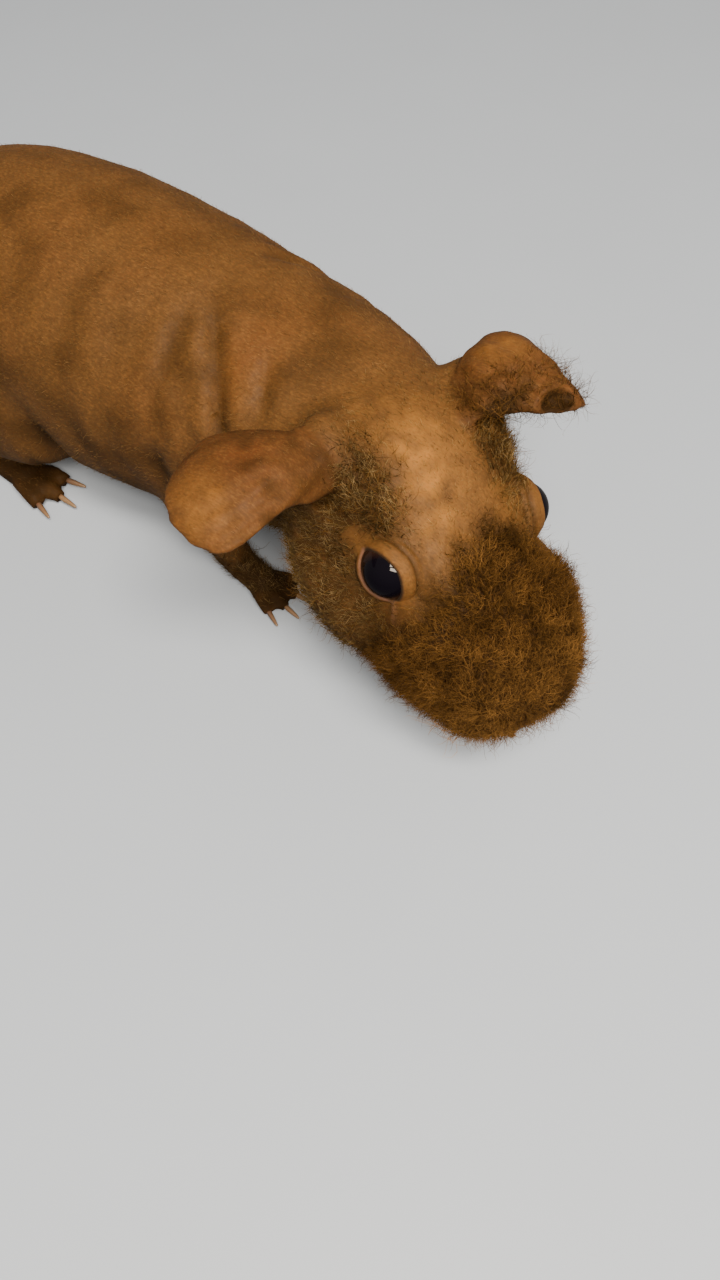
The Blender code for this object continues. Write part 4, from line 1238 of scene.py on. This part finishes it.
def hair_middle(tall, bend, wave, turn, up):
    """The middle of a hair at share up of its length."""
    lean = bend * up**1.7
    ripple = wave * math.sin(up * 5.2 + turn) - wave * math.sin(turn)
    sway = wave * 0.8 * (math.cos(up * 4.1 + turn * 1.7) - math.cos(turn * 1.7))
    rise = up * (1 - 0.35 * abs(bend) * up)
    return Vector((lean + ripple, sway, rise)) * tall


def hair_kinds(name, tall, thick, bend, wave, rings):
    """A collection of a few differently bent hairs."""
    kinds = bpy.data.collections.new(name)
    bpy.context.scene.collection.children.link(kinds)
    for number in range(HAIR_KINDS):
        share_here = number / (HAIR_KINDS - 1)
        mesh = hair_mesh(
            f"{name}_{number}",
            tall * (0.85 + 0.3 * share_here),
            thick,
            bend * (0.5 + (number * 3) % HAIR_KINDS / (HAIR_KINDS - 1)),
            wave * (0.5 + (number * 5) % HAIR_KINDS / (HAIR_KINDS - 1)),
            number * 2.4,
            rings,
        )
        kinds.objects.link(bpy.data.objects.new(mesh.name, mesh))
    return kinds


def unwrapped(skin):
    """A light copy of the skin with its own unwrap, the head larger on it than the body."""
    copy = object_of("unwrap", skin.data.copy())
    thin = copy.modifiers.new("thin", "DECIMATE")
    thin.ratio = UNWRAP_FACES / len(skin.data.polygons)
    settled(copy)
    true = points_of(copy.data)
    head = in_head(true)
    larger = 1 + 1.2 * (1 - eased(20, 45, head[:, 1]))
    move_points(copy.data, true * larger[:, None])
    for layer in list(copy.data.uv_layers):
        copy.data.uv_layers.remove(layer)
    copy.data.uv_layers.new(name="OFBake")
    with bpy.context.temp_override(active_object=copy, object=copy, selected_objects=[copy]):
        bpy.context.view_layer.objects.active = copy
        copy.select_set(True)
        bpy.ops.object.mode_set(mode="EDIT")
        bpy.ops.mesh.select_all(action="SELECT")
        bpy.ops.uv.smart_project(angle_limit=math.radians(60), island_margin=0.004)
        bpy.ops.object.mode_set(mode="OBJECT")
    move_points(copy.data, true)
    copy.hide_render = True
    return copy


def bed_of(skin, zone):
    """The part of the skin where a zone's hair grows, with what its hairs need to know."""
    mesh = skin.data
    grow = kept_values(mesh, "grow_" + zone)
    faces = triangles_of(mesh)
    faces = faces[grow[faces].max(1) > 0.02]
    used, corners = np.unique(faces, return_inverse=True)
    bed = bpy.data.meshes.new("bed_" + zone)
    bed.from_pydata(points_of(mesh)[used].tolist(), [], corners.reshape(-1, 3).tolist())
    bed.update()
    keep_values(bed, "grow", grow[used])
    keep_values(bed, "size", kept_values(mesh, "size_" + zone)[used])
    keep_values(bed, "lie", kept_values(mesh, "lie")[used], "FLOAT_VECTOR")
    for name in ("rise", "gold", "blotch", "dark", "pale"):
        keep_values(bed, name, kept_values(mesh, name)[used])
    return bed


def area_of(bed):
    """The bed's area, counted by how densely the hair grows."""
    points = points_of(bed)
    grow = kept_values(bed, "grow")
    faces = triangles_of(bed)
    a, b, c = (points[faces[:, k]] for k in range(3))
    areas = np.linalg.norm(np.cross(b - a, c - a), axis=1) / 2
    return float((areas * grow[faces].mean(1)).sum())


def grow_coat(name, bed, kinds, unwrap, material, hairs, seed, look):
    """One piece of coat, as a plain mesh."""
    coat = object_of(name, bed.copy())
    tree = tuft_tree()
    values = {"Hairs": kinds, "Unwrap": unwrap, "Material": material, "Seed": seed, **look}
    values["Density"] = hairs / max(area_of(bed), 1e-9)
    grow = coat.modifiers.new("grow", "NODES")
    grow.node_group = tree
    for socket in tree.interface.items_tree:
        if socket.item_type == "SOCKET" and socket.in_out == "INPUT" and socket.name in values:
            grow[socket.identifier] = values[socket.name]
    settled(coat)
    mesh = coat.data
    for attribute in ("grow", "size", "lie", "rise", "root_place"):
        if attribute in mesh.attributes:
            mesh.attributes.remove(mesh.attributes[attribute])
    if "strand" in mesh.uv_layers:
        mesh.uv_layers.remove(mesh.uv_layers["strand"])
    if "OFBake" not in mesh.uv_layers:
        raise RuntimeError(f"{name} has no unwrap")
    mesh.uv_layers["OFBake"].active = True
    smooth_shaded(mesh)
    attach(coat, "root")


# Materials


def shader_of(name):
    material = bpy.data.materials.new(name)
    material.use_nodes = True
    tree = material.node_tree
    return material, tree, tree.nodes["Principled BSDF"]


def mark(tree, name):
    """What the mesh stores under a name."""
    return add_node(tree, "ShaderNodeAttribute", attribute_name=name).outputs["Fac"]


def layered(tree, base, *layers):
    """Colours laid over a base, each with its amount. The base is a socket or a colour."""
    for amount, shade in layers:
        if not isinstance(base, bpy.types.NodeSocket):
            base = (*base, 1.0)
        inputs = {0: amount, 6: base, 7: (*shade, 1.0)}
        made = add_node(tree, "ShaderNodeMix", inputs, data_type="RGBA", clamp_result=True)
        base = made.outputs[2]
    return base


def tinted(shade, factor):
    return tuple(min(1.0, c * factor) for c in shade)


def place_node(tree):
    return add_node(tree, "ShaderNodeTexCoord").outputs["Object"]


def noise_node(tree, where, cell, detail=3.0, rough=0.55):
    """Noise with features about cell wide, in metres."""
    inputs = {"Vector": where, "Scale": 1 / cell, "Detail": detail, "Roughness": rough}
    return add_node(tree, "ShaderNodeTexNoise", inputs).outputs["Fac"]


def bumped(tree, *layers):
    """The normal of bumps laid over each other, each with its height, strength and distance."""
    normal = {}
    for layer in layers:
        inputs = dict(zip(("Height", "Strength", "Distance"), layer))
        normal = {"Normal": add_node(tree, "ShaderNodeBump", inputs | normal).outputs["Normal"]}
    return normal


def skin_material(settings):
    """Bare mottled skin with pores and fine wrinkles, wet only at the lid edges."""
    material, tree, shader = shader_of("bare_skin")
    where = place_node(tree)
    patches = noise_node(tree, where, 0.0032, 4.0)
    specks = noise_node(tree, where, 0.0009, 2.0)
    lying = vector_node(tree, "MULTIPLY", where, (1.0, 0.30, 0.60))
    strands = noise_node(tree, lying, 0.00034, 2.0, 0.6)
    base = layered(
        tree,
        settings.brown,
        (mark(tree, "pale"), settings.pale),
        (mark(tree, "red"), settings.red),
        (ranged(tree, patches, 0.35, 0.65, 0.0, 0.35), tinted(settings.brown, 0.5)),
        (ranged(tree, specks, 0.52, 0.72, 0.0, 0.30), tinted(settings.brown, 1.7)),
        (ranged(tree, strands, 0.52, 0.74, 0.0, 0.42), tinted(settings.brown, 2.1)),
        (ranged(tree, strands, 0.48, 0.28, 0.0, 0.45), tinted(settings.brown, 0.5)),
        # dark: the skin's own darker places, and painted shade in creases, hollows, the mouth and low on
        # the flanks
        (mark(tree, "dark"), settings.dark),
        (product(tree, mark(tree, "nose"), 0.5), tinted(settings.rose, 0.5)),
        (mark(tree, "edge"), settings.rose),
        # Painted shade on the upper lid's rim and where the lids meet the eye
        (product(tree, mark(tree, "lash"), 0.85), settings.dark),
        # Painted shade in the lid creases
        (product(tree, mark(tree, "fold"), 0.85), tinted(settings.brown, 0.5)),
    )
    shine = ranged(tree, noise_node(tree, where, 0.0021), 0.3, 0.7, 0.60, 0.78)
    pores = add_node(tree, "ShaderNodeTexVoronoi", {"Vector": where, "Scale": 1 / PORE}, feature="F1")
    wrinkles = noise_node(tree, where, 0.0026, 5.0, 0.6)
    gloss = ranged(tree, mark(tree, "dark"), 0.0, 1.0, 0.17, 0.05)
    inputs = bumped(
        tree,
        (wrinkles, 0.55, 0.00025),
        (pores.outputs["Distance"], 0.30, 0.00008),
        (strands, 0.45, 0.00008),
    )
    inputs["Base Color"] = base
    inputs["Roughness"] = math_node(tree, "SUBTRACT", shine, product(tree, mark(tree, "edge"), 0.42))
    inputs["Specular IOR Level"] = math_node(tree, "ADD", gloss, product(tree, mark(tree, "edge"), 0.5))
    inputs["Subsurface Weight"] = 0.12
    inputs["Subsurface Radius"] = (1.0, 0.36, 0.18)
    inputs["Subsurface Scale"] = 0.0011
    feed(tree, shader, inputs)
    return material


def hair_material(name, plain, gold, dark, pale, tip):
    """Hair that lightens to its tip, golden and dark where the skin's marks say so."""
    material, tree, shader = shader_of(name)
    blotch = ranged(tree, mark(tree, "blotch"), 0.15, 0.85, 0.50, 1.6)
    shade = ranged(tree, mark(tree, "shade"), 0.0, 1.0, 0.7, 1.3)
    along = ranged(tree, mark(tree, "along"), 0.1, 1.0, 0.65, 1.5)
    light = product(tree, product(tree, blotch, shade), along)
    ends = product(tree, ranged(tree, mark(tree, "along"), 0.35, 1.0, 0.0, 0.75), blotch)
    base = layered(
        tree,
        plain,
        (mark(tree, "gold"), gold),
        # Hair darker where the skin's dark mark is, its painted shade included
        (product(tree, mark(tree, "dark"), 0.6), dark),
        (mark(tree, "pale"), pale),
        (ends, tip),
    )
    inputs = {"Base Color": scaled_by(tree, base, light), "Roughness": 0.68}
    feed(tree, shader, inputs | {"Specular IOR Level": 0.04})
    return material


def eye_material(settings):
    """A wet eye, nearly black, with a faint brown ring."""
    material, tree, shader = shader_of("dark_eye")
    ring = ranged(tree, mark(tree, "rise"), 0.62, 0.80, 1.0, 0.0)
    # Painted reflection mask: stronger reflections where the eye faces up, weaker where it faces down, so
    # the floor's reflection stays faint
    wet = ranged(tree, mark(tree, "upward"), 0.25, 0.75, 0.05, 0.17)
    base = layered(tree, settings.pupil, (ring, settings.ring))
    inputs = {"Base Color": base, "Roughness": settings.roughness, "Specular IOR Level": wet}
    feed(tree, shader, inputs)
    return material


def claw_material(settings):
    """Horn, darker at the root and paler at the point, with fine lines along it."""
    material, tree, shader = shader_of("claw_horn")
    lines = noise_node(tree, place_node(tree), 0.0004, 2.0)
    streaks = ranged(tree, lines, 0.4, 0.7, 0.0, 0.35)
    base = layered(tree, settings.root, (mark(tree, "along"), settings.tip), (streaks, settings.root))
    inputs = bumped(tree, (lines, 0.25, 0.00005))
    inputs.update({"Base Color": base, "Roughness": 0.34})
    inputs.update({"Subsurface Weight": 0.10, "Subsurface Scale": 0.0006})
    feed(tree, shader, inputs)
    return material


# Eyes and claws


def build_eye(side_name, side, material):
    """A smooth eyeball with its cornea, in the place of the faceted one."""
    form = bmesh.new()
    bmesh.ops.create_uvsphere(form, u_segments=72, v_segments=48, radius=1.0)
    rise_layer = form.verts.layers.float.new("rise")
    for vert in form.verts:
        rise = vert.co.normalized().z
        vert[rise_layer] = rise
        vert.co *= float(eyeball_reach(np.array(rise))) * MM * EYEBALL_PART
    form.transform(eye_pose(side))
    mesh = mesh_of("eyeball_" + side_name, form)
    smooth_shaded(mesh)
    # upward: how far the eye faces up, which sets how strongly it reflects
    keep_values(mesh, "upward", np.clip(normals_of(mesh)[:, 2], 0, 1))
    eye = object_of("eyeball_" + side_name, mesh)
    clothed(eye, material)
    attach(eye, "root")
    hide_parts("eye_" + side_name)


def build_claws(material):
    """Smooth claws in the place of the faceted ones, as one piece for each foot."""
    feet = sorted({name.rsplit("_", 1)[0] for name in CLAWS})
    for foot in feet:
        form = bmesh.new()
        members = [name for name in CLAWS if name.startswith(foot + "_")]
        for name in members:
            single = welded(name)
            bmesh.ops.dissolve_limit(single, angle_limit=0.02, verts=single.verts, edges=single.edges)
            added(form, single, name + "_copy")
        claws = object_of(foot.replace("claw", "claws"), mesh_of(foot + "s", form))
        round_off = claws.modifiers.new("round", "SUBSURF")
        round_off.levels = 2
        round_off.render_levels = 2
        settled(claws)
        rounded = claws.data
        move_points(rounded, points_of(rounded) + normals_of(rounded) * CLAW_ROUNDING)
        mark_claws(rounded)
        smooth_shaded(rounded)
        clothed(claws, material)
        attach(claws, "root")
        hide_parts(*members)


def mark_claws(mesh):
    """Stores how far towards its point each place of a claw is."""
    points = points_of(mesh)
    front = points[:, 1]
    keep_values(mesh, "along", np.clip((front.max() - front) / CLAW_LENGTH, 0, 1))


# The stage


def look_at(place, target):
    """The pose of a light or camera at place that looks at target."""
    way = (Vector(target) - Vector(place)).normalized()
    return Matrix.Translation(place) @ way.to_track_quat("-Z", "Y").to_matrix().to_4x4()


def build_floor(settings):
    form = bmesh.new()
    bmesh.ops.create_grid(form, x_segments=24, y_segments=24, size=FLOOR_HALF)
    mesh = mesh_of("floor", form)
    material, tree, shader = shader_of("pale_floor")
    tone = ranged(tree, noise_node(tree, place_node(tree), 0.05), 0.3, 0.7, 0.0, 0.12)
    base = layered(tree, settings.floor, (tone, tinted(settings.floor, 0.8)))
    feed(tree, shader, {"Base Color": base, "Roughness": 0.55})
    mesh.materials.append(material)
    floor = object_of("floor", mesh)
    floor.visible_glossy = False


def build_light(name, way, distance, size, power, aside=(0, 0, 0), roll=0.0):
    """A rectangular light out from the animal along way, turned by roll degrees on its axis."""
    light = bpy.data.lights.new(name, "AREA")
    light.shape = "RECTANGLE"
    light.size, light.size_y = size
    light.energy = power
    light.color = WARM
    obj = object_of(name, light)
    target = Vector((0, -0.03, 0.04))
    place = target + Vector(way).normalized() * distance + Vector(aside)
    obj.matrix_world = look_at(place, target) @ Matrix.Rotation(math.radians(roll), 4, "Z")
    return obj


def build_camera(lens):
    data = bpy.data.cameras.new("camera")
    data.sensor_width = 36
    data.sensor_fit = "AUTO"
    data.lens = lens
    data.clip_start = 0.01
    camera = object_of("camera", data)
    round_by, up = (math.radians(angle) for angle in CAMERA_ANGLES)
    back = Vector(
        (math.sin(round_by) * math.cos(up), -math.cos(round_by) * math.cos(up), math.sin(up))
    )
    across = Vector((0, 0, 1)).cross(back).normalized()
    turn = Matrix((across, back.cross(across), back)).transposed().to_4x4()
    camera.matrix_world = Matrix.Translation(CAMERA_PLACE) @ turn
    bpy.context.scene.camera = camera


def build_stage(settings):
    build_floor(settings)
    for name, part in (("window_upper", 1), ("window_lower", -1)):
        aside = WINDOW_APART * part
        build_light(name, WINDOW_WAY, 0.85, WINDOW_SIZE, settings.key, aside, WINDOW_ROLL)
    fill = build_light("wide_fill", (0.85, -0.25, 0.45), 1.3, (1.2, 1.2), settings.fill)
    fill.visible_glossy = False
    world = bpy.data.worlds.new("room")
    world.use_nodes = True
    shade = world.node_tree.nodes["Background"]
    shade.inputs["Color"].default_value = (1.0, 0.94, 0.87, 1.0)
    shade.inputs["Strength"].default_value = settings.sky
    bpy.context.scene.world = world
    build_camera(settings.lens)


# Operators


class SKINNYPIG_OT_skin(bpy.types.Operator):
    """Build the one skin that covers all the flesh."""

    bl_idname = "skinny_pig.skin"
    bl_label = "Skin"

    def execute(self, context):
        settings = context.scene.skinny_pig_skin
        check_pose()
        skin = build_form(settings)
        shape_skin(skin)
        thin_skin(skin, settings.triangles)
        mark_skin(skin.data)
        smooth_shaded(skin.data)
        clothed(skin, skin_material(settings))
        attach(skin, "root")
        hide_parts(*FLESH)
        return {"FINISHED"}


class SKINNYPIG_OT_eyes(bpy.types.Operator):
    """Build the two eyes."""

    bl_idname = "skinny_pig.eyes"
    bl_label = "Eyes"

    def execute(self, context):
        material = eye_material(context.scene.skinny_pig_eyes)
        for side_name, side in SIDES:
            build_eye(side_name, side, material)
        return {"FINISHED"}


class SKINNYPIG_OT_claws(bpy.types.Operator):
    """Build the claws of each foot."""

    bl_idname = "skinny_pig.claws"
    bl_label = "Claws"

    def execute(self, context):
        build_claws(claw_material(context.scene.skinny_pig_claws))
        return {"FINISHED"}


class SKINNYPIG_OT_coat(bpy.types.Operator):
    """Grow the fuzz of the muzzle, face and body, and the whiskers."""

    bl_idname = "skinny_pig.coat"
    bl_label = "Coat"

    def execute(self, context):
        settings = context.scene.skinny_pig_coat
        skin = bpy.data.objects["skin"]
        unwrap = unwrapped(skin)
        for zone in COAT:
            grow_zone(zone, skin, unwrap, settings)
        drop(unwrap)
        return {"FINISHED"}


def zone_material(zone, settings):
    """The hair of a zone: plain, near the nose, where the skin is dark or pale, and at its tips."""
    dark, gold, olive, down = (getattr(settings, n) for n in ("dark", "gold", "olive", "down"))
    name = "body_down" if zone == "body" else zone + "_hair"
    shades = {
        "muzzle": (tinted(dark, 1.4), gold, tinted(dark, 0.6), gold, MUZZLE_TIP),
        "fringe": (tinted(dark, 1.2), tinted(gold, 0.7), tinted(dark, 0.6), gold, MUZZLE_TIP),
        "face": (*(tinted(olive, factor) for factor in (1.5, 1.8, 0.7, 3.6)), FACE_TIP),
        "body": (down, *(tinted(down, factor) for factor in (1.1, 0.5, 1.6, 1.6))),
        "whisker": (tinted(gold, 1.2), tinted(gold, 1.4), gold, gold, gold),
    }
    return hair_material(name, *shades[zone])


def grow_zone(zone, skin, unwrap, settings):
    """The pieces of a zone's coat."""
    pieces, seed, thick, bend, wave, rings, stand, mess, swirl, shortest, rising = COAT[zone]
    material = zone_material(zone, settings)
    tall, hairs = (getattr(settings, f"{zone}_{what}") for what in ("length", "hairs"))
    kinds = hair_kinds(zone + "_kind", tall, thick * settings.thickness, bend, wave, rings)
    bed = bed_of(skin, zone)
    look = {"Stand": stand, "Mess": mess, "Swirl": swirl, "Shortest": shortest}
    for number, name in enumerate(pieces):
        grow_coat(name, bed, kinds, unwrap, material, hairs, seed + number, look)
        look["Stand"] += rising
    drop(*kinds.objects)
    bpy.data.collections.remove(kinds)


class SKINNYPIG_OT_stage(bpy.types.Operator):
    """Set up the floor, the lights and the camera."""

    bl_idname = "skinny_pig.stage"
    bl_label = "Stage"

    def execute(self, context):
        build_stage(context.scene.skinny_pig_stage)
        return {"FINISHED"}


STEPS = (
    (SKINNYPIG_OT_stage, "skinny_pig_stage", StageSettings),
    (SKINNYPIG_OT_skin, "skinny_pig_skin", SkinSettings),
    (SKINNYPIG_OT_eyes, "skinny_pig_eyes", EyeSettings),
    (SKINNYPIG_OT_claws, "skinny_pig_claws", ClawSettings),
    (SKINNYPIG_OT_coat, "skinny_pig_coat", CoatSettings),
)


class SKINNYPIG_PT_sidebar(bpy.types.Panel):
    """The steps that dress the skinny pig, and what each can change."""

    bl_label = "Skinny pig"
    bl_idname = "SKINNYPIG_PT_sidebar"
    bl_space_type = "VIEW_3D"
    bl_region_type = "UI"
    bl_category = "Skinny pig"

    def draw(self, context):
        for operator, group, _ in STEPS:
            box = self.layout.box()
            box.operator(operator.bl_idname)
            values = getattr(context.scene, group)
            for name in values.__annotations__:
                box.prop(values, name)


def register():
    for operator, name, group in STEPS:
        bpy.utils.register_class(group)
        setattr(bpy.types.Scene, name, PointerProperty(type=group))
        bpy.utils.register_class(operator)
    bpy.utils.register_class(SKINNYPIG_PT_sidebar)


def unregister():
    bpy.utils.unregister_class(SKINNYPIG_PT_sidebar)
    for operator, name, group in reversed(STEPS):
        bpy.utils.unregister_class(operator)
        delattr(bpy.types.Scene, name)
        bpy.utils.unregister_class(group)


def main():
    register()
    for operator, _, _ in STEPS:
        group, name = operator.bl_idname.split(".")
        getattr(getattr(bpy.ops, group), name)()


if __name__ == "__main__":
    main()
